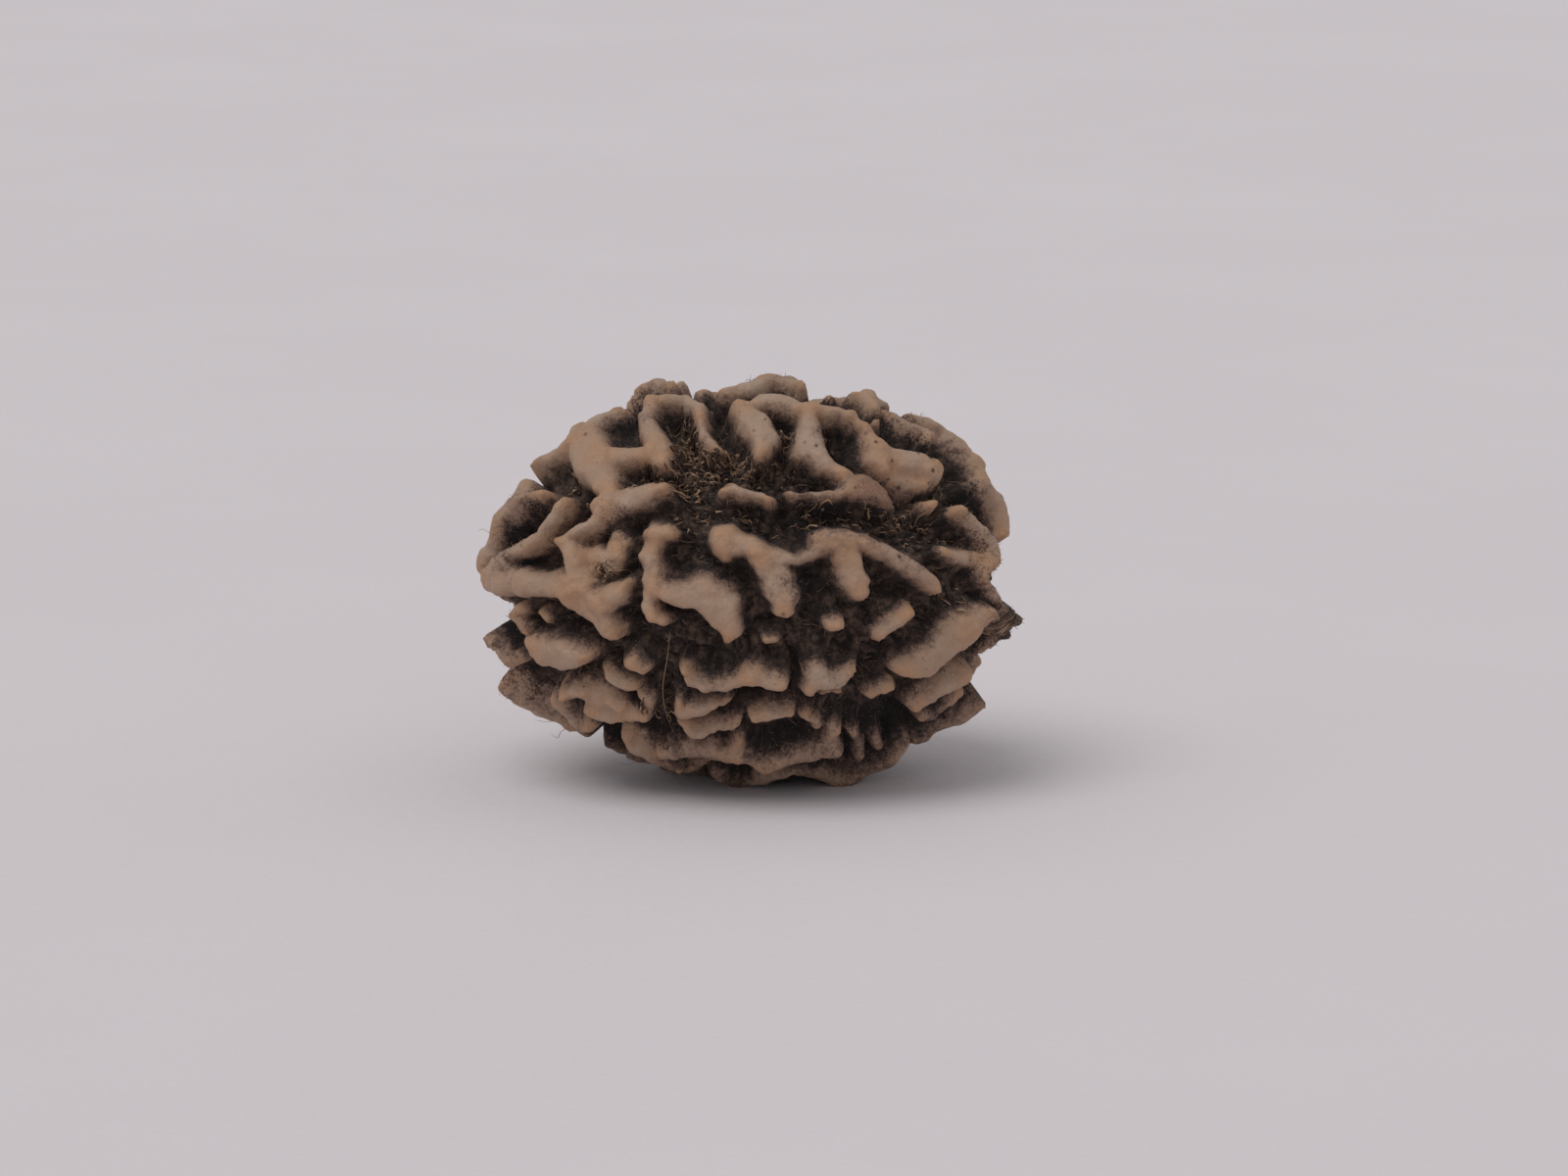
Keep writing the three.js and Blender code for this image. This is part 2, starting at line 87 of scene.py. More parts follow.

# %% [markdown]
# ## The net of ridges
# The net grew by chance, so no formula gives it. It could be a Voronoi texture, but then it
# would be any seed's net and not this one's. So each ridge is a short row of listed points
# along its back: lean, turn, half width and height. The height is a share of the
# furrow depth, and 1 where it is left out.

# %% Ridges
FRONT_RIDGES = [
    # The long fork from the left pole, round a deep pit
    [[-80, 8, 0.75], [-71, 9, 1.1], [-62, 8.5, 0.9], [-54, 7.5, 0.7], [-47, 7.5, 0.7], [-40, 8, 0.9]],
    [[-77, 16, 0.6], [-66, 22, 0.7], [-58, 27, 0.6], [-50, 31, 0.5], [-46, 36, 0.45], [-43, 41, 0.3]],
    [[-44, 25, 0.35], [-41, 21, 0.6], [-40, 14, 0.7], [-38, 7, 0.9]],
    [[-43, 25, 0.45, 0.95], [-38, 28.5, 0.35], [-33, 30.5, 0.4], [-31.5, 35, 0.6]],
    [[-41, 5, 1.1], [-36, 1, 1.2], [-32, -3, 0.8], [-29, -7.5, 0.4]],
    [[-33, 3, 0.8], [-28.5, 5, 0.6], [-26.7, 8.5, 0.3]],
    [[-37, 18, 0.9, 0.6], [-32, 15, 0.8, 0.6], [-30, 22, 0.9, 0.6]],
    # The hook and its broad toe
    [[-22, 24, 0.45], [-18, 24.5, 0.6], [-16.5, 24, 0.35]],
    [[-20, 23, 0.75], [-21.2, 17, 0.6], [-20.8, 10, 0.65], [-21.3, 4, 0.4], [-20, -1, 0.35]],
    [[-20, -1, 0.35], [-18, -2.5, 0.25]],
    [[-20, 8, 0.5], [-14, 5.5, 0.75], [-9, 6, 1.15], [-6, 2, 1.2], [-4.5, -3, 0.85], [-5, -6.5, 0.3]],
    # The long broad ridge over the middle, with its two hanging toes
    [[-5.5, 23, 0.75], [-5.5, 19, 0.65]],
    [[-5, 21.5, 0.8], [0, 19.5, 0.7], [5, 16.5, 0.55], [9.5, 15, 0.25], [13, 17, 0.3], [17, 21, 0.65]],
    [[2, 17, 0.7], [5, 11.5, 1.0], [7.5, 6, 1.0], [7.5, 2, 0.65]],
    [[14.5, 22, 0.4], [20, 23, 0.55], [24, 22, 0.5]],
    [[20.5, 20, 0.9], [21.5, 14, 0.95], [23, 9, 0.9], [23.5, 7, 0.7]],
    [[24, 21.5, 0.5], [30, 19, 0.5], [34, 16.5, 0.65], [38.5, 12, 0.65], [42, 8, 0.55], [43, 6.5, 0.45]],
    # Islands in the long furrow below it
    [[17, -3.5, 0.35, 0.95], [19.5, -3.3, 0.35, 0.95]],
    [[35.3, -1, 0.4, 0.92], [32, -5, 0.4, 0.92], [28.5, -9, 0.25, 0.85]],
    [[3.4, -8, 0.2, 0.8], [5.4, -7.8, 0.2, 0.8]],
    [[-25.5, -17, 0.42, 0.95], [-23, -19, 0.32, 0.95]],
    # The first row below the furrow
    [[-13.5, -17, 0.22], [-12.5, -20.5, 0.3], [-9, -22, 0.35], [-4, -21, 0.4], [0, -18.8, 0.65]],
    [[0, -18.3, 0.75], [4, -19.5, 0.55], [7, -20, 0.3]],
    [[12.2, -23.3, 0.45], [15, -18.3, 0.75], [14.5, -20, 0.8], [19.5, -20.8, 0.5], [22, -18, 0.25]],
    [[34, -23, 0.65], [40, -21.7, 0.95], [47, -19.5, 1.1], [53, -16, 1.1]],
    [[53, -16, 1.1], [58.5, -12.5, 0.8], [61, -10.5, 0.45]],
    # The second row
    [[-15, -28.5, 0.3, 0.95], [-14.3, -32.5, 0.45, 0.95], [-10, -30, 0.35, 0.95], [-5, -27.5, 0.2, 0.9]],
    [[-14, -36, 0.3], [-12.5, -40, 0.4], [-8, -37.8, 0.35], [-4, -35, 0.3], [-2.2, -33.2, 0.2]],
    [[1.5, -31.7, 0.4, 0.95], [5, -31, 0.45, 0.95], [9, -30, 0.25, 0.9]],
    [[12, -35.5, 0.35, 0.75], [14, -38, 0.4, 0.75], [14.7, -41.5, 0.3, 0.7]],
    [[15.5, -27, 0.15, 0.7], [19, -27.5, 0.15, 0.7]],
    [[26.5, -29.8, 0.25, 0.85], [31, -29.8, 0.25, 0.85]],
    [[37.5, -40, 0.4], [42, -40.5, 0.6], [48, -41.5, 0.75], [52.5, -43, 0.7]],
    # The undercut rim of the belly
    [[-19.5, -55.5, 0.35], [-14, -51.5, 0.55], [-8, -49.5, 0.8], [-3, -52, 0.85], [3, -55, 0.55]],
    [[3, -55, 0.55], [9, -53, 0.6], [15, -52, 0.75], [19, -52.5, 0.45]],
    [[-4, -51, 0.8, 0.95], [-2.2, -43.5, 0.4, 0.95]],
    [[17.5, -51, 0.7, 0.93], [18.2, -43, 0.45, 0.93]],
    [[23.5, -66, 0.5, 0.9], [23.5, -55, 0.35, 0.9], [23, -48, 0.25, 0.85]],
    [[28.5, -66, 0.4, 0.88], [27.8, -55, 0.3, 0.85]],
    # The lower left
    [[-54, -25, 0.75], [-49, -24, 1.0], [-44, -21.5, 1.1], [-39, -19, 0.8], [-36.5, -17.5, 0.35]],
    [[-60, -7, 0.45, 0.85], [-62.5, -14, 0.45, 0.85], [-59, -21, 0.55, 0.85]],
    [[-53, -7, 0.25, 0.7], [-51, -11, 0.25, 0.7]],
    [[-44, -41, 0.35, 0.9], [-38, -37, 0.75, 0.82], [-32, -38.5, 0.8, 0.76], [-27, -40, 0.6, 0.85]],
    [[-27, -40, 0.4, 0.9], [-23.5, -38, 0.35]],
    [[-42.5, -39, 0.25, 1.0], [-40, -35.5, 0.35, 1.02], [-37, -35, 0.25, 0.98]],
    [[-36, -41.5, 0.25, 0.96], [-31, -42.5, 0.35, 1.0], [-28, -41.5, 0.3, 1.0]],
    [[-32, -35, 0.2, 0.95], [-28.5, -36.3, 0.25, 0.98]],
    [[-33.5, -25, 0.2, 0.8], [-29, -27.3, 0.28, 0.8], [-25, -26.7, 0.2, 0.8]],
    [[-25, -29, 0.15, 0.85], [-22.5, -31, 0.3, 0.85], [-23, -36, 0.35, 0.85]],
    [[-27.5, -51, 0.4], [-24.5, -58, 0.75], [-20, -63, 0.65], [-15, -66, 0.4]],
    # The upper left net
    [[-33, 35.5, 0.8], [-28, 36.6, 1.05], [-22.5, 36.8, 0.85], [-18.5, 37.5, 0.45]],
    [[-31, 31.5, 0.5, 0.95], [-32, 36, 0.55]],
    # Islands above the long ridge
    [[-6, 36, 0.35, 0.95], [-3, 37, 0.4], [1, 35, 0.3], [4.3, 33, 0.2, 0.9]],
    [[8.8, 35.5, 0.3], [13, 35.5, 0.25], [18, 36.3, 0.4], [21.5, 37.5, 0.6]],
    [[21.5, 38, 0.75, 1.04], [25, 40, 1.15, 1.06], [28.5, 39, 0.9, 1.04], [30.5, 37, 0.5, 0.95]],
    [[42, 40, 0.35, 0.9], [43, 41.5, 0.3, 0.9]],
    # The right shoulder
    [[50, 42, 0.25], [55, 40, 0.35], [60, 36, 0.5], [64.5, 29, 0.6], [63, 20, 0.7], [60, 14, 0.4]],
    [[61, 20, 0.6, 0.75], [55, 21, 0.5, 0.75], [48, 21, 0.35, 0.7]],
]
CROWN_RIDGES = [
    [[-37.5, 71, 1.0], [-36.5, 62, 1.5], [-35, 54, 1.3], [-33, 47, 0.9], [-31.5, 41, 0.6]],
    [[-33.5, 57, 0.9, 0.95], [-27, 53, 0.5, 0.95], [-22, 52, 0.75]],
    [[-21, 77, 0.45], [-22.3, 68, 0.6], [-21.5, 60, 0.7], [-20, 53, 0.85], [-19, 48.5, 0.7]],
    [[-21, 77, 0.45], [-17, 78, 0.5], [-12.8, 75, 0.4], [-11, 69, 0.4], [-11, 63, 0.3]],
    [[-11, 63, 0.3], [-9.8, 56, 0.35], [-7.5, 51.5, 0.35], [-6, 49.5, 0.2]],
    [[-53.5, 81, 0.25], [-50, 78, 0.45, 1.02], [-45, 74, 0.6, 1.02], [-41, 72, 0.6]],
    [[-39, 78, 0.6, 0.95], [-34, 83, 0.5, 0.9], [-28, 85, 0.35, 0.8]],
    [[-24, 98, 0.45, 1.05], [-20, 97, 0.7, 1.1], [-16.5, 90, 0.4]],
    [[-26, 87, 0.3, 0.95], [-24, 90, 0.3, 0.95]],
    [[-1.5, 67, 0.8], [0.5, 61, 1.25], [3, 55, 1.05], [2.7, 50, 0.65], [2, 47.5, 0.35]],
    [[-1.5, 68, 0.6], [3, 71, 0.8], [8, 70, 0.7], [13, 68, 0.6], [18, 68.5, 0.5], [22, 67, 0.4]],
    [[22, 67, 0.4], [24.5, 63.5, 0.4]],
    [[12.5, 67, 0.8], [12.7, 61, 0.8], [12, 56, 1.0], [13, 51, 1.05], [16, 46.5, 0.7], [20, 43.5, 0.4]],
    [[26, 63, 0.55], [27, 57, 1.0], [28, 51.5, 0.9], [29, 48, 0.55]],
    [[28, 56, 0.95], [34, 55, 1.0, 0.97], [38, 56.5, 0.85], [42.5, 57.5, 0.95]],
    [[30, 50, 0.8, 0.78], [35, 49, 0.6, 0.72], [40, 50, 0.5, 0.7]],
    [[28, 72.5, 0.25, 0.9], [29, 74, 0.2, 0.9]],
    [[-5.5, 77, 0.45], [0, 80, 0.55], [4, 86, 0.75], [9, 88, 0.8], [11, 83, 0.35]],
    [[22.5, 86, 0.4, 1.05], [26, 89, 0.8, 1.22], [27.5, 82, 0.5]],
    [[30, 86, 0.35, 0.85], [34, 83, 0.5, 0.95], [38, 83, 0.6], [41, 86, 0.45], [42, 78, 0.3]],
    [[35, 92, 0.35, 0.9], [40, 96, 0.5, 1.05], [45, 99, 0.6, 1.15], [51, 98, 0.65, 1.2],
     [56, 96, 0.6, 1.15]],
    [[56, 96, 0.6, 1.15], [60.5, 88, 0.45]],
]
POLE_RIDGES = [
    [[-50, 50, 0.35, 1.05], [-56, 54, 0.45, 1.05], [-63, 61, 0.55, 1.05], [-71, 66, 0.6]],
    [[-71, 66, 0.6], [-78, 57, 0.5], [-82, 30, 0.4]],
    [[56, 66, 0.4], [61, 74, 0.6, 1.05], [67, 78, 0.7, 1.05], [72, 68, 0.65], [72, 57, 0.35]],
    [[60, 10, 0.3, 0.9], [66, -8, 0.4], [71, -25, 0.45, 1.15], [75, -42, 0.45, 1.28]],
    [[63, -15, 0.4, 0.9], [68, -27, 0.5, 0.95], [70, -40, 0.4, 1.1]],
    [[70, -40, 0.4, 1.1], [65, -43, 0.3, 0.85], [61, -43, 0.25, 0.7]],
    [[-71, -47, 0.2, 1.2], [-67, -51, 0.25, 1.05], [-62, -53, 0.3]],
]
FAR_CROWN_RIDGES = [
    [[-21, 105, 0.6, 0.9], [-19, 112, 0.55, 0.95], [-21, 122, 0.7], [-27, 128, 0.6]],
    [[0, 92, 0.5, 0.8], [3, 101, 0.7, 0.9], [-1, 110, 0.7, 0.8], [2, 119, 0.7, 0.95], [8, 125, 0.6]],
    [[3, 101, 0.7, 0.9], [9, 106, 0.6, 0.95], [10, 114, 0.5, 0.9]],
    [[26, 92, 0.6], [25, 99, 0.6], [29, 107, 0.8], [24, 115, 0.7], [29, 123, 0.6]],
    [[24, 115, 0.7], [17, 121, 0.5, 0.8], [15, 130, 0.7], [9, 134, 0.5]],
    [[42, 106, 0.6], [37, 113, 0.7], [42, 122, 0.7], [37, 130, 0.5]],
    [[-31, 97, 0.5, 0.65], [-37, 103, 0.6, 0.7], [-43, 111, 0.7, 0.9], [-39, 118, 0.8], [-45, 126, 0.6]],
    [[-39, 118, 0.8], [-31, 114, 0.5, 0.9]],
    [[-13, 124, 0.5, 0.85], [-6, 128, 0.7], [-11, 135, 0.5]],
    [[52, 107, 0.6], [56, 117, 0.7], [50, 126, 0.6]],
    [[64, 94, 0.5, 0.95], [67, 106, 0.6, 0.95], [63, 120, 0.6]],
    [[-58, 130, 0.5], [-65, 124, 0.5, 0.9], [-72, 130, 0.5, 0.9]],
    [[-11, 110, 0.4, 0.75], [-8, 116, 0.45, 0.75]],
    [[18, 108, 0.35, 0.75], [20, 112, 0.3, 0.75]],
    [[50, 112, 0.35, 0.75], [46, 118, 0.4, 0.8]],
]
BELLY_RIDGES = [
    # The lowest row in front, with two of the feet
    [[-8, -67, 0.45], [-5, -71, 0.6], [-2, -79, 0.9, 1.14]],
    [[-2, -79, 0.9, 1.14], [4, -68, 0.45, 0.95], [9, -67, 0.3, 0.95], [14, -71, 0.6],
     [19, -79, 0.9, 1.4]],
    [[19, -79, 0.9, 1.4], [25, -76, 0.6, 1.2], [31, -75, 0.6, 1.22], [35, -72, 0.45, 1.1]],
    [[38, -76, 0.45, 1.1], [44, -76, 0.5, 1.15], [50, -75, 0.5, 1.32], [54.5, -74, 0.3, 1.42]],
    [[-62, -72, 0.22, 1.42], [-57, -76, 0.32, 1.35], [-50, -78, 0.38, 1.22], [-42, -80, 0.4, 1.02]],
    [[-42, -80, 0.5, 1.02], [-38, -80, 0.35]],
    # The underside, with the feet at the back
    [[-22, -84, 0.6, 0.8], [-18, -92, 0.8, 0.9], [-17, -100, 1.0, 1.3], [-10, -106, 0.8],
     [-3, -102, 0.8]],
    [[-3, -102, 0.8], [7, -103, 1.1, 1.25]],
    [[-18, -92, 0.8, 0.9], [-9, -88, 0.8, 0.9], [-2, -79, 0.9, 1.14]],
    [[7, -103, 1.1, 1.25], [11, -95, 0.8, 0.95], [16, -90, 0.8, 0.95], [19, -79, 0.9, 1.4]],
    [[26, -92, 0.7], [33, -95, 0.8], [38, -88, 0.6]],
    [[-32, -90, 0.6], [-26, -97, 0.8], [-30, -105, 0.7]],
    [[-37, -60, 0.4, 0.9], [-42, -67, 0.6, 0.95], [-48, -62, 0.5, 0.9]],
    [[-9, -60, 0.3, 0.8], [-15, -74, 0.5, 0.9], [-26, -76, 0.5, 0.9]],
    [[40, -56, 0.4, 0.85], [44, -64, 0.5, 0.9], [51, -60, 0.5, 0.9]],
    [[30, -84, 0.4, 0.9], [40, -87, 0.6, 0.95], [48, -86, 0.5, 0.9]],
    [[-42, -88, 0.5, 0.95], [-52, -90, 0.6], [-60, -88, 0.4, 0.9]],
    [[-44, -98, 0.6], [-50, -106, 0.7], [-56, -112, 0.5]],
    [[46, -100, 0.6], [52, -108, 0.7], [58, -114, 0.5]],
    [[18, -104, 0.6], [26, -107, 0.7]],
]
print(len(FRONT_RIDGES), "ridges in front,", len(CROWN_RIDGES), "on the near crown")

# %% [markdown]
# ## The far side
# The back of the seed has the same kind of net. It could be drawn by hand too, but a copy
# keeps both sides alike: the near ridges are turned half round the axis, and the clefts of
# the crown run on between them.

# %% Every ridge as an array
def full_points(ridge):
    return np.array([[*point, 1.0][:4] for point in ridge], float)


def turned(ridge, degrees):
    copy = ridge.copy()
    copy[:, 1] += degrees
    return copy


NEAR_NET = [full_points(ridge) for ridge in FRONT_RIDGES + CROWN_RIDGES]
COPIED = [turned(ridge, 180) for ridge in NEAR_NET if np.abs(ridge[:, 1]).max() <= COPIED_TURN]
OTHERS = [full_points(ridge) for ridge in POLE_RIDGES + FAR_CROWN_RIDGES + BELLY_RIDGES]
NET = NEAR_NET + OTHERS + COPIED
print(len(NET), "ridges,", len(COPIED), "of them at the back")


# %% [markdown]
# ## From ridges to relief
# The relief is a height between 0, the furrow floor, and 1, the ridge tops. Near a ridge's
# middle line it is level, and a cosine carries it down the flank. Where ridges meet, a high
# power mean runs them together without a crease. We could paint this as a displacement
# texture, but plain numbers give us the same height again for colours and fibres.

# %% Relief
TWIST = 1.6  # how far each wave is bent by the next axis
STRAY_WAVES = ((3.1, 0.4), (3.4, 1.9), (2.9, 3.2))  # period in mm and shift, for each axis
COARSE_RAGS = (1.3, 2.2)
FINE_RAGS = (0.6, 4.1)
FINE_SHARE = 0.6
CREST_WAVES = (4.3, 0.9)
FLOOR_WAVES = (2.6, 0.7)


def on_crest(lean, turn):
    lean, turn = np.radians(lean), np.radians(turn)
    around = HALF_GIRTH * np.cos(lean)
    return np.stack([HALF_LENGTH * np.sin(lean), -around * np.cos(turn), around * np.sin(turn)], -1)


def swell(place, period, shift):
    x, y, z = (place * (2 * math.pi / period)).T
    return (np.sin(x + TWIST * np.sin(0.7 * y + shift) + shift)
            + np.sin(y + TWIST * np.sin(0.8 * z + 2 * shift) + 1.3)
            + np.sin(z + TWIST * np.sin(0.6 * x + 3 * shift) + 2.1 * shift)) / 3


def length_height(place, ragged, start, end, start_point, end_point):
    span = end - start
    along = np.clip((place - start) @ span / (span @ span), 0, 1)
    away = np.linalg.norm(place - start - along[:, None] * span, axis=1) + ragged
    width = start_point[2] + (end_point[2] - start_point[2]) * along
    height = start_point[3] + (end_point[3] - start_point[3]) * along
    aside = np.clip((away - LEVEL * width) / ((1 - LEVEL) * width + FLANK), 0, 1)
    rounded = 1 - ROUNDING * np.clip(away / width, 0, 1) ** 2
    share = rounded * (0.5 + 0.5 * np.cos(math.pi * aside))
    return height * share, share


def relief_and_wear(crest):
    stray = np.stack([swell(crest, *wave) for wave in STRAY_WAVES], -1)
    place = crest + WANDER * stray
    ragged = RAGGED * (swell(crest, *COARSE_RAGS) + FINE_SHARE * swell(crest, *FINE_RAGS))
    total = np.zeros(len(place))
    wear = np.zeros(len(place))
    for ridge in NET:
        line = on_crest(ridge[:, 0], ridge[:, 1])
        middle = (line.max(0) + line.min(0)) / 2
        reach = np.linalg.norm(line.max(0) - line.min(0)) / 2 + ridge[:, 2].max() + FLANK
        near = np.nonzero(((place - middle) ** 2).sum(1) < reach * reach)[0]
        if len(near) == 0:
            continue
        best = np.zeros(len(near))
        for i in range(len(line) - 1):
            height, share = length_height(
                place[near], ragged[near], line[i], line[i + 1], ridge[i], ridge[i + 1])
            best = np.maximum(best, height)
            wear[near] = np.maximum(wear[near], share)
        total[near] += best ** JOINING
    height = total ** (1 / JOINING) * (1 + CREST_SWELL * swell(crest, *CREST_WAVES))
    height += np.clip(1 - height, 0, None) * FLOOR_SWELL / FURROW_DEPTH * swell(crest, *FLOOR_WAVES)
    return height, wear


def relief_at(crest):
    return relief_and_wear(crest)[0]


sample = on_crest(NET[0][:, 0], NET[0][:, 1])
print("heights along the first ridge:", relief_at(sample).round(2))

# %% [markdown]
# ## From relief to surface
# A point is pushed in from the ellipsoid by what it lacks in height. The furrow floors are
# also shifted a little up round the axis. That undercuts the lower edge of each ridge and
# eases the upper one, as on the real seed, whose ridges lean like worn shingles.

# %% Surface
def outward_at(direction):
    outward = direction / SIZE
    return outward / np.linalg.norm(outward, axis=1, keepdims=True)


def surface_at(direction, extra=0.0):
    crest = direction * SIZE
    height = relief_at(crest)
    depth = (height - 1) * FURROW_DEPTH + extra
    upwards = np.stack([np.zeros(len(crest)), crest[:, 2], -crest[:, 1]], -1) / HALF_GIRTH
    lack = np.clip(1 - height, 0, 1)
    place = crest + outward_at(direction) * depth[:, None] + upwards * (UNDERCUT * lack)[:, None]
    place[:, 2] = np.maximum(place[:, 2] + AXIS_HEIGHT, 0)
    return place, height


waist_top, _ = surface_at(np.array([[0.0, 0.0, 1.0]]))
print("the top of the waist is", round(float(waist_top[0, 2]), 2), "mm over the floor")

# %% [markdown]
# ## A ball with even cells
# A globe of rings and spokes pinches at its poles. A cube's grid doesn't, so we subdivide a
# cube and draw it out to a ball. Each round of relaxing then moves the grid towards the
# steep flanks, where the surface needs the most cells.

# %% Grid
CELLS = 126
RELAX_ROUNDS = 4
RELAX_SHARE = 0.6
cube = bmesh.new()
bmesh.ops.create_cube(cube, size=2)
bmesh.ops.subdivide_edges(cube, edges=cube.edges[:], cuts=CELLS - 1, use_grid_fill=True)
bmesh.ops.recalc_face_normals(cube, faces=cube.faces[:])
stone_mesh = bpy.data.meshes.new("rudraksha_stone")
cube.to_mesh(stone_mesh)
cube.free()
print("the cube's grid has", len(stone_mesh.vertices), "points")


# %% Relax and shape
def mesh_places(mesh):
    flat = np.empty(len(mesh.vertices) * 3, np.float32)
    mesh.vertices.foreach_get("co", flat)
    return flat.reshape(-1, 3).astype(float)


def mesh_edges(mesh):
    flat = np.empty(len(mesh.edges) * 2, np.int32)
    mesh.edges.foreach_get("vertices", flat)
    return flat.reshape(-1, 2)


def unit(rows):
    return rows / np.linalg.norm(rows, axis=1, keepdims=True)


def relaxed(direction, edges):
    place, _ = surface_at(direction)
    start, end = edges.T
    weight = np.linalg.norm(place[start] - place[end], axis=1)
    weights = np.bincount(start, weight, len(direction)) + np.bincount(end, weight, len(direction))
    pull = np.empty_like(direction)
    for axis in range(3):
        pull[:, axis] = np.bincount(start, weight * direction[end, axis], len(direction))
        pull[:, axis] += np.bincount(end, weight * direction[start, axis], len(direction))
    pulled = pull / weights[:, None]
    return unit(direction * (1 - RELAX_SHARE) + pulled * RELAX_SHARE)


directions = unit(np.tan(mesh_places(stone_mesh) * math.pi / 4))
stone_edges = mesh_edges(stone_mesh)
for _ in range(RELAX_ROUNDS):
    directions = relaxed(directions, stone_edges)
print("relaxed", RELAX_ROUNDS, "times")

# %% [markdown]
# ## Worn backs and rough flanks
# The ridge tops are lumpy where the thumb would feel them, and the flanks are pitted like
# bark. Both come from fractal noise, which Blender's mathutils gives point by point.

# %% Fine relief
LUMP_SIZE = 1.5  # long soft lumps, all over
LUMP_HEIGHT = 0.21
GRIT_SIZE = 0.5  # fine pits, mostly on the flanks
GRIT_HEIGHT = 0.2
GRIT_FADES = 1.15  # the relief at which no grit would be left
LEAST_GRIT = 0.08
RUBBLE_SIZE = 1.0  # dried flesh, only on the furrow floors
RUBBLE_HEIGHT = 0.55
RUBBLE_FADES = 1.6  # the higher, the closer the rubble keeps to the floors


def fractal(places, size, octaves):
    return np.array([noise.fractal(Vector(place) / size, 1.0, 2.0, octaves) for place in places])


crests = directions * SIZE
rise, wear = relief_and_wear(crests)
lumps = fractal(crests, LUMP_SIZE, 3) * LUMP_HEIGHT
grit = fractal(crests + 40, GRIT_SIZE, 4) * GRIT_HEIGHT * np.clip(GRIT_FADES - rise, LEAST_GRIT, 1)
rubble = np.abs(fractal(crests + 80, RUBBLE_SIZE, 3)) * np.clip(1 - RUBBLE_FADES * rise, 0, 1)
stone_places, rise = surface_at(directions, lumps + grit + rubble * RUBBLE_HEIGHT)
stone_mesh.vertices.foreach_set("co", (stone_places * MM).astype(np.float32).ravel())
stone_mesh.update()
stone_mesh.shade_smooth()
print("lumps up to", round(float(np.abs(lumps).max()), 3), "mm")

# %% [markdown]
# ## What the finish needs to know
# Wear and dirt follow the shape, so the stone carries numbers from it at each point: how
# worn it is, how much rubble lies there, and how near the end of a ridge is. Pores and dust
# came by chance; painted shade fills the deepest pits, and the underside is darker. All of
# them lie in listed zones, each a place and a radius, which is quicker than painting and
# stays the same at any fineness of the mesh.

# %% Zones
PORED = [
    # Ridge backs with pores: lean, turn, radius
    [26, 39, 2.0], [33, 55, 2.6], [41, 57, 1.6], [12, 55, 1.3], [36, 15, 2.4], [47, -20, 2.2],
    [-23, 76, 0.8], [-38, 60, 1.6], [-36, -40, 1.4], [22, -17, 1.0], [6, 6, 1.0], [62, 24, 1.8],
    [30, 72, 1.4], [3, 60, 1.2], [28, 50, 1.4],
]
DUSKY = [
    # Fuzzy, unpolished ridges: lean, turn, radius
    [-57, 52, 1.5], [-66, 38, 1.6], [-62, 30, 1.2], [-60, -70, 1.6], [-62, -22, 1.2],
    [52, 62, 2.2], [58, 46, 1.8], [44, 74, 2.2], [62, 20, 1.4], [68, -30, 2.6],
    [-24, 88, 0.9], [4, 92, 1.2], [34, 88, 1.6],
    [28, 30, 1.2], [36, 24, 1.4], [-30, 30, 1.0],
]
PIT_SHADE_AND_DARK_UNDERSIDE = [
    # Painted shade that blackens the deepest pits, and ridges of the underside darkened all over: lean,
    # turn, radius
    [18, 56, 1.2], [-61, 15, 1.0], [-24, 66, 1.0], [7, 62, 0.7], [16, 29, 1.6], [12, 8, 1.2],
    [-18, -58, 2.2], [-8, -56, 2.2], [3, -58, 2.4], [12, -57, 2.4], [22, -56, 2.4], [34, -60, 2.2],
    [44, -64, 2.0], [-30, -80, 3.0], [-12, -80, 3.0], [6, -80, 3.0], [24, -80, 3.0], [42, -80, 3.0],
    [0, -98, 5.0], [-25, -100, 5.0], [25, -100, 5.0], [72, -25, 2.0], [-69, -40, 1.7],
    [-66, 46, 1.0], [60, 62, 1.4], [-6, -69, 2.2], [10, -69, 2.2], [-20, -70, 2.2], [25, -70, 2.2],
    [15, 160, 2.6], [-50, 170, 2.2],
]
DUSTY = [
    # Furrows that are filled with pale dust, not black: lean, turn, radius
    [-58, 45, 3.2], [-66, 30, 2.4], [-48, 58, 2.4], [-38, 48, 2.0], [-40, -40, 3.2], [-48, -30, 1.8],
    [-28, -50, 2.0], [-56, -62, 2.4], [56, 58, 3.2], [64, 44, 2.4], [42, 74, 2.4], [-34, 20, 1.6],
    [-30, 58, 1.6], [55, -28, 2.0], [-45, 5, 1.4], [36, 44, 1.2], [-50, 20, 2.0], [-40, 12, 1.4],
    [-37, 36, 1.6], [-60, 4, 2.0], [-25, 150, 3.0], [40, 130, 2.6],
]
CUT_FACE = [
    # The end of one ridge of the crown is a bare, brown face: lean, turn, radius
    [26.5, 39.5, 1.15], [30.5, 38.0, 0.9],
]
ZONES = {"pored": PORED, "dusky": DUSKY, "pit_shade_and_dark_underside": PIT_SHADE_AND_DARK_UNDERSIDE, "dusty": DUSTY, "cut_face": CUT_FACE}
print("zones:", {name: len(zones) for name, zones in ZONES.items()})


# %% Store the numbers
END_REACH = 0.5  # how far a rubbed end reaches beyond the ridge's half width
ZONE_CORE = 1.4  # over 1, so that the middle of a zone is full
WEAR_RISES = 1.5  # over 1, so that low ridges are worn too


def store(mesh, name, values):
    layer = mesh.attributes.new(name, "FLOAT", "POINT")
    layer.data.foreach_set("value", np.asarray(values, np.float32))


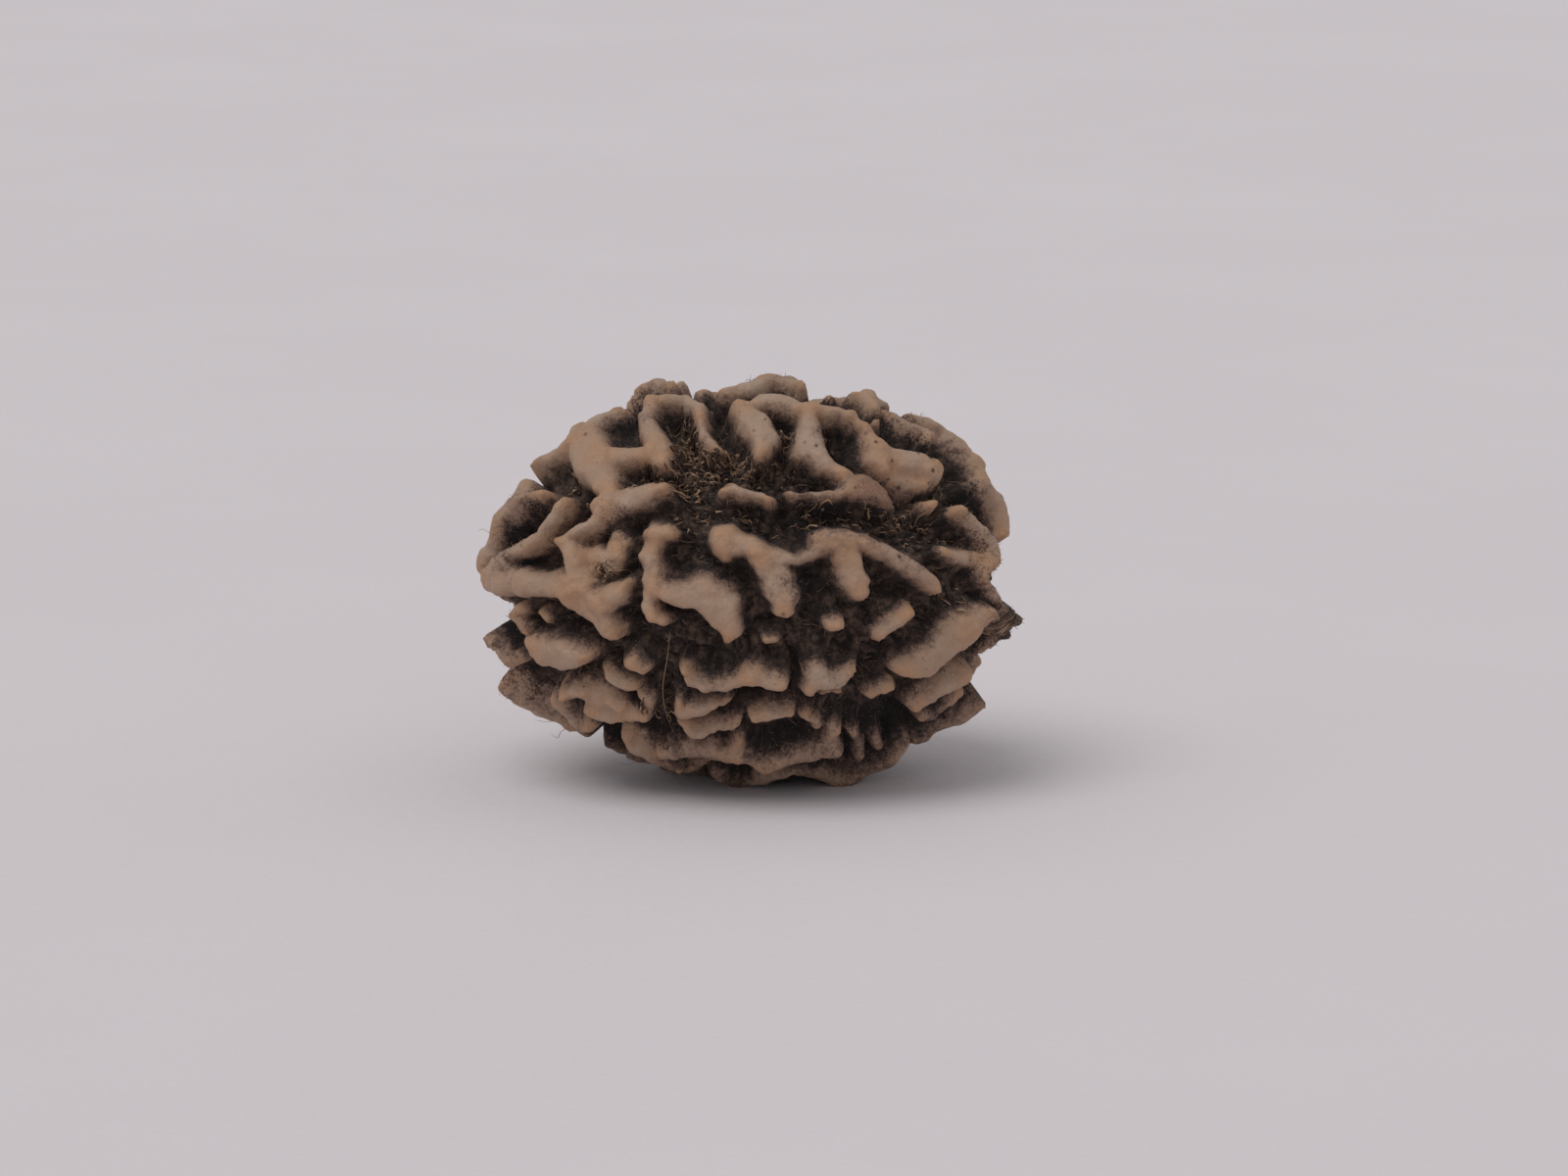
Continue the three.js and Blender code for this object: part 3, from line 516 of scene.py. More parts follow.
def end_nearness(places):
    nearness = np.zeros(len(places))
    for ridge in NET:
        ends = on_crest(ridge[[0, -1], 0], ridge[[0, -1], 1])
        for end, width in zip(ends, ridge[[0, -1], 2]):
            away = np.linalg.norm(places - end, axis=1) / (width + END_REACH)
            nearness = np.maximum(nearness, 1 - away)
    return nearness


def zone_share(zones, places):
    share = np.zeros(len(places))
    for lean, turn, radius in zones:
        away = np.linalg.norm(places - on_crest(lean, turn), axis=1)
        share = np.maximum(share, np.clip(ZONE_CORE - away / radius, 0, 1))
    return share


store(stone_mesh, "worn", wear * np.clip(WEAR_RISES * rise, 0, 1))
store(stone_mesh, "rubble", rubble)
shares = {name: zone_share(zones, crests) for name, zones in ZONES.items()}
for name, share in shares.items():
    store(stone_mesh, name, share)
store(stone_mesh, "ridge_end", end_nearness(crests))
stone = bpy.data.objects.new("rudraksha_stone", stone_mesh)
bpy.context.scene.collection.objects.link(stone)
print("the stone has", len(stone_mesh.polygons) * 2, "triangles")

# %% [markdown]
# ## Strands
# Fibres of the dried flesh are still caught in the furrows. Particle hair would be quick,
# but it isn't a mesh and would be lost on export. So one thin, three-sided strand is made
# once, an Array modifier repeats it, and every copy is then laid along a path of its own.

# %% A bundle of strands
STRAND_SIDES = 3
APART = 10.0  # between the copies, before they are laid on their paths
ANY_WAY = np.array([0.31, 0.53, 0.79])  # a direction that hardly any strand follows


def strand_bundle(name, paths, widths, shades):
    count, rings = paths.shape[:2]
    strand = bmesh.new()
    bmesh.ops.create_circle(strand, segments=STRAND_SIDES, radius=1, cap_ends=True)
    tip = strand.faces[:]
    for ring in range(1, rings):
        grown = bmesh.ops.extrude_face_region(strand, geom=tip)["geom"]
        if ring > 1:
            bmesh.ops.delete(strand, geom=tip, context="FACES_ONLY")
        points = [item for item in grown if isinstance(item, bmesh.types.BMVert)]
        bmesh.ops.translate(strand, verts=points, vec=(0, 0, 1))
        tip = [item for item in grown if isinstance(item, bmesh.types.BMFace)]
    bmesh.ops.recalc_face_normals(strand, faces=strand.faces[:])
    mesh = bpy.data.meshes.new(name)
    strand.to_mesh(mesh)
    strand.free()
    piece = bpy.data.objects.new(name, mesh)
    bpy.context.scene.collection.objects.link(piece)
    repeat = piece.modifiers.new("repeat", "ARRAY")
    repeat.count = count
    repeat.use_relative_offset = False
    repeat.use_constant_offset = True
    repeat.constant_offset_displace = (APART, 0, 0)
    shown = piece.evaluated_get(bpy.context.evaluated_depsgraph_get())
    piece.data = bpy.data.meshes.new_from_object(shown)
    piece.modifiers.clear()
    piece.data.name = name
    places = mesh_places(piece.data)
    copy = np.clip(np.rint(places[:, 0] / APART).astype(int), 0, count - 1)
    ring = np.rint(places[:, 2]).astype(int)
    along = np.gradient(paths, axis=1)
    along /= np.linalg.norm(along, axis=2, keepdims=True)
    across = np.cross(along, ANY_WAY)
    across /= np.linalg.norm(across, axis=2, keepdims=True)
    over = np.cross(along, across)
    first = (places[:, 0] - copy * APART) * widths[copy, ring]
    second = places[:, 1] * widths[copy, ring]
    laid = paths[copy, ring] + across[copy, ring] * first[:, None] + over[copy, ring] * second[:, None]
    laid[:, 2] = np.maximum(laid[:, 2], 0)
    piece.data.vertices.foreach_set("co", (laid * MM).astype(np.float32).ravel())
    piece.data.update()
    piece.data.shade_smooth()
    store(piece.data, "shade", shades[copy])
    print(name, "has", count, "strands and", len(piece.data.polygons), "faces")
    return piece


print("a strand has", STRAND_SIDES, "sides")

# %% [markdown]
# ## Where strands lie
# A strand starts at a point of the stone and creeps over it in small steps, turning a little
# at each. It rests on the surface, but it is too stiff to follow each pit, so its heights
# are evened out along its length, and its middle may stand up in a low arch.

# %% Creeping paths
HIGHEST_STRAND = 0.8  # no strand creeps over a worn ridge top
BEND = 0.6  # how much of the curl keeps turning the same way
EVENING_ROUNDS = 2
TAPER_AT = (0, 0.15, 0.7, 1)  # from root to tip
TAPER = (0.6, 1, 0.85, 0.15)


def creep(starts, headings, lengths, rings, curl, lift, rng, highest=HIGHEST_STRAND):
    count = len(starts)
    here = starts.copy()
    heading = unit(headings - (headings * here).sum(1, keepdims=True) * here)
    bend = rng.normal(0, curl * BEND, (count, 1))
    walked = np.empty((count, rings, 3))
    for ring in range(rings):
        walked[:, ring] = here
        turn = bend + rng.normal(0, curl, (count, 1))
        aside = np.cross(here, heading)
        heading = unit(heading * np.cos(turn) + aside * np.sin(turn))
        stride = (lengths / (rings - 1) / HALF_GIRTH)[:, None]
        here = unit(here + heading * stride)
        heading = unit(heading - (heading * here).sum(1, keepdims=True) * here)
    flat = walked.reshape(-1, 3)
    height = relief_at(flat * SIZE).reshape(count, rings)
    evened = height.copy()
    for _ in range(EVENING_ROUNDS):
        evened[:, 1:-1] = (evened[:, :-2] + 2 * evened[:, 1:-1] + evened[:, 2:]) / 4
    stand = np.maximum(height, evened) - height
    arch = np.sin(np.linspace(0, math.pi, rings))[None, :] * lift[:, None]
    extra = (stand * FURROW_DEPTH + arch).reshape(-1)
    place, _ = surface_at(flat, extra)
    low = height.max(1) < highest
    return place.reshape(count, rings, 3)[low], low


def tapered(count, rings, thickness, rng, spread=0.25):
    profile = np.interp(np.linspace(0, 1, rings), TAPER_AT, TAPER)
    return thickness * rng.lognormal(0, spread, (count, 1)) * profile[None, :]


print("strands stay below", HIGHEST_STRAND, "of the relief")

# %% [markdown]
# ## The furrow mat
# The floor of each furrow is covered with short brown fibres that lie every way, like felt.

# %% Furrow mat
def chosen(mask, count, rng):
    return rng.choice(np.nonzero(mask)[0], count)


mat_rng = np.random.default_rng(11)
MAT_COUNT = 6000
MAT_RINGS = 5
MAT_BELOW = 0.4  # the mat's highest root, as a share of the relief
MAT_LENGTHS = (0.3, 1.0)
MAT_ARCHES = (0.02, 0.15)
MAT_CURL = 0.35
MAT_WIDTH = 0.018
mat_roots = chosen(rise < MAT_BELOW, MAT_COUNT, mat_rng)
mat_paths, _ = creep(
    directions[mat_roots], mat_rng.normal(size=(MAT_COUNT, 3)),
    mat_rng.uniform(*MAT_LENGTHS, MAT_COUNT), MAT_RINGS, MAT_CURL,
    mat_rng.uniform(*MAT_ARCHES, MAT_COUNT), mat_rng)
furrow_mat = strand_bundle(
    "furrow_fibres", mat_paths, tapered(len(mat_paths), MAT_RINGS, MAT_WIDTH, mat_rng),
    mat_rng.uniform(0, 0.9, len(mat_paths)) ** 2)

# %% [markdown]
# ## The fuzz on the flanks
# On the flanks the fibres are torn off short and stand up as fuzz. Against the light it
# blurs the seed's outline in the gaps between the ridges.

# %% Flank fuzz
fuzz_rng = np.random.default_rng(23)
FUZZ_COUNT = 14000
FUZZ_RINGS = 3
FUZZ_FROM = 0.1  # the lowest and the highest roots, as shares of the relief
FUZZ_TO = 0.62
FUZZY_DUSK = 0.45  # dusky ridges have fuzz on their backs too
FUZZ_SCATTER = 0.75
FUZZ_BOW = 0.3
FUZZ_LENGTHS = (0.06, 0.24)
FUZZ_WIDTH = 0.011
on_flank = (rise > FUZZ_FROM) & ((rise < FUZZ_TO) | (shares["dusky"] > FUZZY_DUSK))
fuzz_roots = chosen(on_flank, FUZZ_COUNT, fuzz_rng)
scatter = fuzz_rng.normal(0, FUZZ_SCATTER, (FUZZ_COUNT, 3))
fuzz_out = unit(outward_at(directions[fuzz_roots]) + scatter)
fuzz_bow = fuzz_rng.normal(0, FUZZ_BOW, (FUZZ_COUNT, 3))
fuzz_length = fuzz_rng.uniform(*FUZZ_LENGTHS, FUZZ_COUNT)
fuzz_steps = np.linspace(0, 1, FUZZ_RINGS)
fuzz_paths = np.stack([
    stone_places[fuzz_roots] + (fuzz_out * step + fuzz_bow * step * step) * fuzz_length[:, None]
    for step in fuzz_steps], 1)
flank_fuzz = strand_bundle(
    "flank_fuzz", fuzz_paths, tapered(FUZZ_COUNT, FUZZ_RINGS, FUZZ_WIDTH, fuzz_rng),
    fuzz_rng.uniform(0.2, 0.9, FUZZ_COUNT))

# %% [markdown]
# ## Tufts of torn fibre
# In some places a wisp of thicker fibre is left, most of it dark and a little of it pale. Each
# tuft is a listed place with the spread, the number and the length of its strands.

# %% Tufts
TUFTS = [
    # lean, turn, spread, strands, length
    [-15, 46, 0.9, 60, 0.6], [-11, 44, 0.8, 60, 0.6], [-7, 47, 0.9, 60, 0.6], [-3, 45, 1.0, 60, 0.6],
    [1, 44, 0.8, 50, 0.6], [7, 45, 0.7, 34, 0.5], [-22, 46, 0.8, 34, 0.5], [-27, 43, 0.7, 26, 0.5],
    [-18, 41, 0.9, 40, 0.6], [9, 58, 0.7, 20, 0.5], [-12, 29, 1.2, 46, 0.7], [0, 29, 1.4, 54, 0.7],
    [14, 29, 1.4, 46, 0.7], [24, 30, 1.2, 40, 0.6], [34, 31, 1.2, 34, 0.6], [45, 32, 1.2, 24, 0.6],
    [50, 50, 1.1, 34, 0.6], [56, 52, 0.9, 24, 0.6], [-33, 11, 0.8, 40, 0.5], [-46, 41, 0.8, 30, 0.5],
    [-52, 42, 0.7, 26, 0.5], [-45, 58, 0.9, 30, 0.5], [-49, -33, 0.9, 40, 0.5], [-42, -36, 0.9, 40, 0.5],
    [-20, -48, 1.0, 36, 0.6], [-24, -34, 0.7, 20, 0.5], [18, 60, 0.7, 18, 0.5], [52, 2, 1.1, 24, 0.6],
    [40, 24, 1.1, 20, 0.6], [30, 68, 0.9, 24, 0.5], [-15, 66, 0.8, 26, 0.5], [-36, 38, 0.9, 40, 0.5],
    [-13, 38, 1.0, 30, 0.6], [-2, 37, 1.2, 30, 0.6], [-14, 58, 0.7, 40, 0.6], [-11, 53, 0.8, 50, 0.6],
    [-8, 50, 0.8, 50, 0.6], [-14, 65, 0.6, 24, 0.5], [6, 50, 0.6, 30, 0.6], [8, 54, 0.6, 24, 0.6],
    [-3, 50, 0.7, 30, 0.6], [-16, 52, 0.6, 30, 0.6],
]
tuft_rng = np.random.default_rng(37)
TUFT_RINGS = 7
TUFT_CORE = 0.4  # how closely the roots keep to a tuft's middle
TUFT_COMBED = 0.4  # how much a tuft's strands share one heading
TUFT_LENGTHS = (0.5, 1.3)
TUFT_ARCHES = (0.05, 0.45)
TUFT_CURL = 0.8
TUFT_WIDTH = 0.030
TUFT_VARIETY = 0.45
PALEST = 1.5
PALE_RARITY = 1.6  # the higher, the fewer pale strands
tuft_starts, tuft_headings, tuft_lengths = [], [], []
for lean, turn, spread, strands, length in TUFTS:
    centre = on_crest(lean, turn)
    heading = tuft_rng.normal(size=3)
    for _ in range(strands):
        start = (centre + tuft_rng.normal(0, spread * TUFT_CORE, 3)) / SIZE
        tuft_starts.append(start / np.linalg.norm(start))
        tuft_headings.append(heading * TUFT_COMBED + tuft_rng.normal(size=3))
        tuft_lengths.append(length * tuft_rng.uniform(*TUFT_LENGTHS))
tuft_paths, _ = creep(
    np.array(tuft_starts), np.array(tuft_headings), np.array(tuft_lengths), TUFT_RINGS, TUFT_CURL,
    tuft_rng.uniform(*TUFT_ARCHES, len(tuft_starts)), tuft_rng)
tufts = strand_bundle(
    "fibre_tufts", tuft_paths,
    tapered(len(tuft_paths), TUFT_RINGS, TUFT_WIDTH, tuft_rng, TUFT_VARIETY),
    PALEST * tuft_rng.uniform(0, 1, len(tuft_paths)) ** PALE_RARITY)

# %% [markdown]
# ## Crumbs
# Between the tufts sit crumbs of dried flesh. Each is a small ball, squeezed and dented at
# random, and sunk a little into the floor.

# %% Crumbs
CRUMBS_PER_STRAND = 0.3
CRUMB_SIZE = 0.06
CRUMB_VARIETY = 0.45
LARGEST_CRUMB = 0.1
CRUMB_SPREAD = 0.6
SQUEEZE = (0.35, 1.7)
CRUMB_SHADES = (0, 0.65)
DENT_SIZE = 0.2
DENT_DEPTH = 0.09
DENT_SHIFTS = (0, 30, 60)  # so that each axis has dents of its own
crumb_rng = np.random.default_rng(47)
crumb_sheet = bmesh.new()
crumb_shades = []
for lean, turn, spread, strands, _ in TUFTS:
    for _ in range(int(strands * CRUMBS_PER_STRAND)):
        beside = crumb_rng.normal(0, spread * CRUMB_SPREAD, 3)
        place, height = surface_at(unit((on_crest(lean, turn) + beside)[None] / SIZE))
        size = min(crumb_rng.lognormal(math.log(CRUMB_SIZE), CRUMB_VARIETY), LARGEST_CRUMB)
        if height[0] > HIGHEST_STRAND:
            continue
        squeeze = Matrix.Diagonal((*crumb_rng.uniform(*SQUEEZE, 3), 1))
        tumble = Euler(crumb_rng.uniform(0, math.tau, 3)).to_matrix().to_4x4()
        placing = Matrix.Translation(place[0]) @ tumble @ squeeze
        ball = bmesh.ops.create_icosphere(crumb_sheet, subdivisions=1, radius=size, matrix=placing)
        crumb_shades += [crumb_rng.uniform(*CRUMB_SHADES)] * len(ball["verts"])
crumb_mesh = bpy.data.meshes.new("crumbs")
crumb_sheet.to_mesh(crumb_mesh)
crumb_sheet.free()
crumb_places = mesh_places(crumb_mesh)
dents = np.stack([fractal(crumb_places + shift, DENT_SIZE, 2) for shift in DENT_SHIFTS], -1)
dented = (crumb_places + dents * DENT_DEPTH) * MM
crumb_mesh.vertices.foreach_set("co", dented.astype(np.float32).ravel())
crumb_mesh.update()
store(crumb_mesh, "shade", crumb_shades)
crumbs = bpy.data.objects.new("crumbs", crumb_mesh)
bpy.context.scene.collection.objects.link(crumbs)
print("crumbs:", len(crumb_mesh.polygons), "faces")

# %% [markdown]
# ## Single hairs and torn wood
# One long pale hair hangs down the front, and a few whiskers stick out where the seed is
# roughest. At the right pole the wood is split, and its threads lie side by side.

# %% Single hairs
HAIRS = [
    # lean, turn and lift over the ridge tops, from root to tip
    [[-17.0, -5, -0.5], [-17.2, -12, -0.25], [-18.3, -22, 0.05], [-17.6, -30, 0.1], [-16.2, -40, -0.2]],
    [[-44.0, -66, -0.3], [-46.5, -70, 0.2], [-49, -73, 0.5], [-50, -78, 0.55]],
    [[-42.0, -70, -0.3], [-43.5, -76, 0.25], [-43, -82, 0.6], [-45, -86, 0.7]],
    [[-26.0, -66, -0.6], [-25.0, -72, -0.1], [-27.5, -77, 0.2], [-30, -80, 0.15]],
    [[-66.0, 42, -0.5], [-69, 46, 0.1], [-70, 52, 0.5], [-73, 56, 0.6]],
    [[48.0, 60, -0.8], [50, 58, -0.2], [53, 57, 0.0], [55, 53, -0.1]],
]
HAIR_RINGS = 12
HAIR_WIDTH = 0.017
hair_rng = np.random.default_rng(53)
hair_paths = []
for hair in HAIRS:
    lean, turn, lift = np.array(hair, float).T
    knots = np.linspace(0, 1, len(hair))
    steps = np.linspace(0, 1, HAIR_RINGS)
    crest = on_crest(np.interp(steps, knots, lean), np.interp(steps, knots, turn))
    path = crest + outward_at(unit(crest / SIZE)) * np.interp(steps, knots, lift)[:, None]
    path[1:-1] = (path[:-2] + 2 * path[1:-1] + path[2:]) / 4
    hair_paths.append(path + [0, 0, AXIS_HEIGHT])
hair_paths = np.array(hair_paths)
single_hairs = strand_bundle(
    "single_hairs", hair_paths, tapered(len(hair_paths), HAIR_RINGS, HAIR_WIDTH, hair_rng),
    np.linspace(0.9, 0.5, len(hair_paths)))

# %% Torn wood at the right pole
THREAD_COUNT = 150
THREAD_RINGS = 6
THREAD_LEANS = (62, 71)
THREAD_TURNS = (-36, -8)
THREAD_LENGTHS = (0.6, 1.5)
THREAD_ARCHES = (0.0, 0.06)
THREAD_CURL = 0.06
THREAD_WIDTH = 0.032
HIGHEST_THREAD = 1.5  # the threads are torn from a ridge, so they may lie on its back
thread_rng = np.random.default_rng(71)
thread_start = on_crest(
    thread_rng.uniform(*THREAD_LEANS, THREAD_COUNT),
    thread_rng.uniform(*THREAD_TURNS, THREAD_COUNT)) / SIZE
thread_heading = np.array([[1.0, 0, 0.25]]) + thread_rng.normal(0, 0.12, (THREAD_COUNT, 3))
thread_paths, _ = creep(
    thread_start, thread_heading, thread_rng.uniform(*THREAD_LENGTHS, THREAD_COUNT),
    THREAD_RINGS, THREAD_CURL, thread_rng.uniform(*THREAD_ARCHES, THREAD_COUNT), thread_rng,
    HIGHEST_THREAD)
torn_wood = strand_bundle(
    "torn_wood", thread_paths, tapered(len(thread_paths), THREAD_RINGS, THREAD_WIDTH, thread_rng),
    thread_rng.uniform(0, 0.8, len(thread_paths)))
strand_pieces = (furrow_mat, flank_fuzz, tufts, crumbs, single_hairs, torn_wood)

# %% [markdown]
# ## Shader groups
# Two effects are node groups with named inputs and outputs. Mottle makes soft patches for
# every finish here, each time with its own scale and limits. Pores makes small round pits for
# the seed's wood. A group is built once, so a change to it reaches every place that uses it.

# %% Node helpers
def add_node(tree, kind, **settings):
    node = tree.nodes.new(kind)
    for name, value in settings.items():
        setattr(node, name, value)
    return node


def feed(tree, source, target):
    if isinstance(source, (int, float, tuple)):
        target.default_value = source
    else:
        tree.links.new(source, target)


def maths(tree, operation, first, second, clamp=False):
    node = add_node(tree, "ShaderNodeMath", operation=operation, use_clamp=clamp)
    feed(tree, first, node.inputs[0])
    feed(tree, second, node.inputs[1])
    return node.outputs[0]


def mixed(tree, share, first, second):
    node = add_node(tree, "ShaderNodeMix", data_type="RGBA")
    for socket, value in ((0, share), (6, first), (7, second)):  # 6 and 7 are the colours A and B
        feed(tree, value, node.inputs[socket])
    return node.outputs[2]


def group_with(name, inputs, outputs):
    tree = bpy.data.node_groups.new(name, "ShaderNodeTree")
    for label, kind in inputs:
        tree.interface.new_socket(label, in_out="INPUT", socket_type=kind)
    for label, kind in outputs:
        tree.interface.new_socket(label, in_out="OUTPUT", socket_type=kind)
    return tree, tree.nodes.new("NodeGroupInput").outputs, tree.nodes.new("NodeGroupOutput").inputs


def placed(tree, group, **values):
    node = tree.nodes.new("ShaderNodeGroup")
    node.node_tree = group
    for name, value in values.items():
        feed(tree, value, node.inputs[name])
    return node.outputs


print("node groups so far:", len(bpy.data.node_groups))


# %% Mottle: soft patches between 0 and 1
mottle, given, out = group_with(
    "Mottle",
    [("Place", "NodeSocketVector"), ("Scale", "NodeSocketFloat"), ("Low", "NodeSocketFloat"),
     ("High", "NodeSocketFloat")],
    [("Mask", "NodeSocketFloat")])
patches = add_node(mottle, "ShaderNodeTexNoise")
patches.inputs["Detail"].default_value = 6
patches.inputs["Roughness"].default_value = 0.6
feed(mottle, given["Place"], patches.inputs["Vector"])
feed(mottle, given["Scale"], patches.inputs["Scale"])
stretch = add_node(mottle, "ShaderNodeMapRange", interpolation_type="SMOOTHSTEP")
feed(mottle, patches.outputs["Fac"], stretch.inputs["Value"])
feed(mottle, given["Low"], stretch.inputs["From Min"])
feed(mottle, given["High"], stretch.inputs["From Max"])
feed(mottle, stretch.outputs["Result"], out["Mask"])
print("group", mottle.name)

# %% Pores: small round pits, only in some cells
pores, given, out = group_with(
    "Pores",
    [("Place", "NodeSocketVector"), ("Scale", "NodeSocketFloat"), ("Radius", "NodeSocketFloat"),
     ("Share", "NodeSocketFloat")],
    [("Mask", "NodeSocketFloat")])
cells = add_node(pores, "ShaderNodeTexVoronoi", feature="F1")
feed(pores, given["Place"], cells.inputs["Vector"])
feed(pores, given["Scale"], cells.inputs["Scale"])
split = add_node(pores, "ShaderNodeSeparateColor")
feed(pores, cells.outputs["Color"], split.inputs[0])
own_radius = maths(pores, "MULTIPLY", given["Radius"], maths(pores, "ADD", split.outputs[1], 0.5))
from_middle = maths(pores, "DIVIDE", cells.outputs["Distance"], own_radius)
depth = maths(pores, "SUBTRACT", 1.0, from_middle, True)
kept = maths(pores, "LESS_THAN", split.outputs[0], given["Share"])
feed(pores, maths(pores, "MULTIPLY", depth, kept), out["Mask"])
print("group", pores.name)

# %% [markdown]
# ## The seed's wood
# The colour follows the stored wear. Near black dirt fills the furrows, brown climbs the
# flanks in an uneven line, and the worn tops are tan with a grey bloom that is partly a
# painted highlight. The ridge ends are rubbed most and turn a warm orange. The dusky and dusty
# zones move the line between dirt and wood, so no two furrows look alike. Painted shade
# blackens the deepest pits, the underside is darker, and pores dot some of the tops. Layers of
# painted colour could do the same, but here every layer follows the shape by itself.

# %% Material helpers
def new_material(name):
    material = bpy.data.materials.new(name)
    material.use_nodes = True
    return material, material.node_tree, material.node_tree.nodes["Principled BSDF"].inputs


def attribute(tree, name):
    return add_node(tree, "ShaderNodeAttribute", attribute_name=name).outputs["Fac"]


def ramp(tree, value, stops):
    node = add_node(tree, "ShaderNodeValToRGB")
    elements = node.color_ramp.elements
    while len(elements) < len(stops):
        elements.new(0.5)
    for element, (position, colour) in zip(elements, stops):
        element.position = position
        element.color = (*colour, 1)
    feed(tree, value, node.inputs[0])
    return node.outputs[0]


def object_place(tree):
    return add_node(tree, "ShaderNodeTexCoord").outputs["Object"]


wood, tree, bsdf = new_material("worn_seed_wood")
spot = object_place(tree)
print("material", wood.name)


# %% Patches over the wood
def patches_over(tree, place, scale, low, high):
    return placed(tree, mottle, Place=place, Scale=scale, Low=low, High=high)["Mask"]


coarse = patches_over(tree, spot, 650.0, 0.3, 0.7)
fine = patches_over(tree, spot, 3200.0, 0.3, 0.7)
grain = patches_over(tree, spot, 8000.0, 0.3, 0.7)
speckle = patches_over(tree, spot, 8500.0, 0.34, 0.66)
# patches of grey bloom on the tops, which also paint pale highlights there
bloom_and_highlight_patches = patches_over(tree, spot, 260.0, 0.42, 0.62)
warm = patches_over(tree, spot, 420.0, 0.45, 0.65)
print("six kinds of patch,", len(tree.nodes), "nodes")

# %% The uneven line between dirt and wood
DUSK_SPECKLE = 1.25  # over 1, so that a dusky ridge is darker all over
DUSK_DARKENS = 0.38
PIT_SHADE_AND_UNDERSIDE_DARKENS = 0.28
DUST_LIGHTENS = 0.26
PATCH_WEIGHTS = ((coarse, 0.30), (fine, 0.24), (grain, 0.24))
dusk = maths(tree, "MULTIPLY", attribute(tree, "dusky"), maths(tree, "SUBTRACT", speckle, DUSK_SPECKLE))
line = maths(tree, "ADD", attribute(tree, "worn"), maths(tree, "MULTIPLY", dusk, DUSK_DARKENS))
# painted shade: these zones pull the line down to black in the deepest pits, and darken the underside
pit_shade_and_underside_dark = maths(tree, "MULTIPLY", attribute(tree, "pit_shade_and_dark_underside"), PIT_SHADE_AND_UNDERSIDE_DARKENS)
line = maths(tree, "SUBTRACT", line, pit_shade_and_underside_dark)
dust = maths(tree, "MULTIPLY", attribute(tree, "dusty"), maths(tree, "ADD", coarse, 0.5))
line = maths(tree, "ADD", line, maths(tree, "MULTIPLY", dust, DUST_LIGHTENS))
for patch, weight in PATCH_WEIGHTS:
    around_zero = maths(tree, "SUBTRACT", patch, 0.5)
    line = maths(tree, "ADD", line, maths(tree, "MULTIPLY", around_zero, weight))
polished = ramp(tree, line, [(0.62, (0, 0, 0)), (0.92, (1, 1, 1))])
print("the line has", len(tree.nodes), "nodes so far")

# %% Dirt, wood and rubble
RUBBLE_COLOUR = (0.15, 0.094, 0.067, 1)
RUBBLE_EDGE = 3.0  # over 1, so that the edge of the rubble is short
plain = ramp(tree, line, [
    (0.06, (0.008, 0.006, 0.0067)), (0.24, (0.021, 0.0143, 0.013)), (0.40, (0.080, 0.048, 0.038)),
    (0.57, (0.19, 0.115, 0.084)), (0.76, (0.33, 0.209, 0.146)), (0.96, (0.44, 0.288, 0.198))])
rubbly = maths(tree, "MULTIPLY", attribute(tree, "rubble"), RUBBLE_EDGE, True)
rubbly = maths(tree, "MULTIPLY", rubbly, fine)
# no rubble lightens the pits that are blackened with painted shade, nor the darker underside
rubbly = maths(tree, "MULTIPLY", rubbly, maths(tree, "SUBTRACT", 1.0, attribute(tree, "pit_shade_and_dark_underside")))
plain = mixed(tree, rubbly, plain, RUBBLE_COLOUR)
print("rubble", RUBBLE_COLOUR[:3])

# %% Bloom with painted highlight, rubbed ends and the bare ridge end
BLOOM_AND_HIGHLIGHT_COLOUR = (0.52, 0.39, 0.295, 1)
BLOOM_AND_HIGHLIGHT_SHARE = 0.5
RUBBED_COLOUR = (0.50, 0.272, 0.145, 1)
RUBBED_SHARE = 0.8
WARM_PATCHES = 0.3
BARE_DARK = (0.22, 0.11, 0.068, 1)
BARE_LIGHT = (0.36, 0.20, 0.125, 1)
BARE_SHARE = 1.3  # over 1, so that the whole face is bare
# painted highlight: the pale bloom on the worn tops is partly a real grey bloom and partly a painted
# highlight
bloom_and_highlight = maths(tree, "MULTIPLY", maths(tree, "MULTIPLY", bloom_and_highlight_patches, polished), BLOOM_AND_HIGHLIGHT_SHARE)
tops = mixed(tree, bloom_and_highlight, plain, BLOOM_AND_HIGHLIGHT_COLOUR)
warmth = maths(tree, "ADD", attribute(tree, "ridge_end"), maths(tree, "MULTIPLY", warm, WARM_PATCHES))
rubbed = maths(tree, "MULTIPLY", maths(tree, "MULTIPLY", warmth, polished), RUBBED_SHARE, True)
tops = mixed(tree, rubbed, tops, RUBBED_COLOUR)
bare = maths(tree, "MULTIPLY", attribute(tree, "cut_face"), polished)
bare = maths(tree, "MULTIPLY", bare, BARE_SHARE, True)
tops = mixed(tree, bare, tops, mixed(tree, speckle, BARE_DARK, BARE_LIGHT))
print("bloom_and_highlight", BLOOM_AND_HIGHLIGHT_COLOUR[:3], "and rubbed ends", RUBBED_COLOUR[:3])

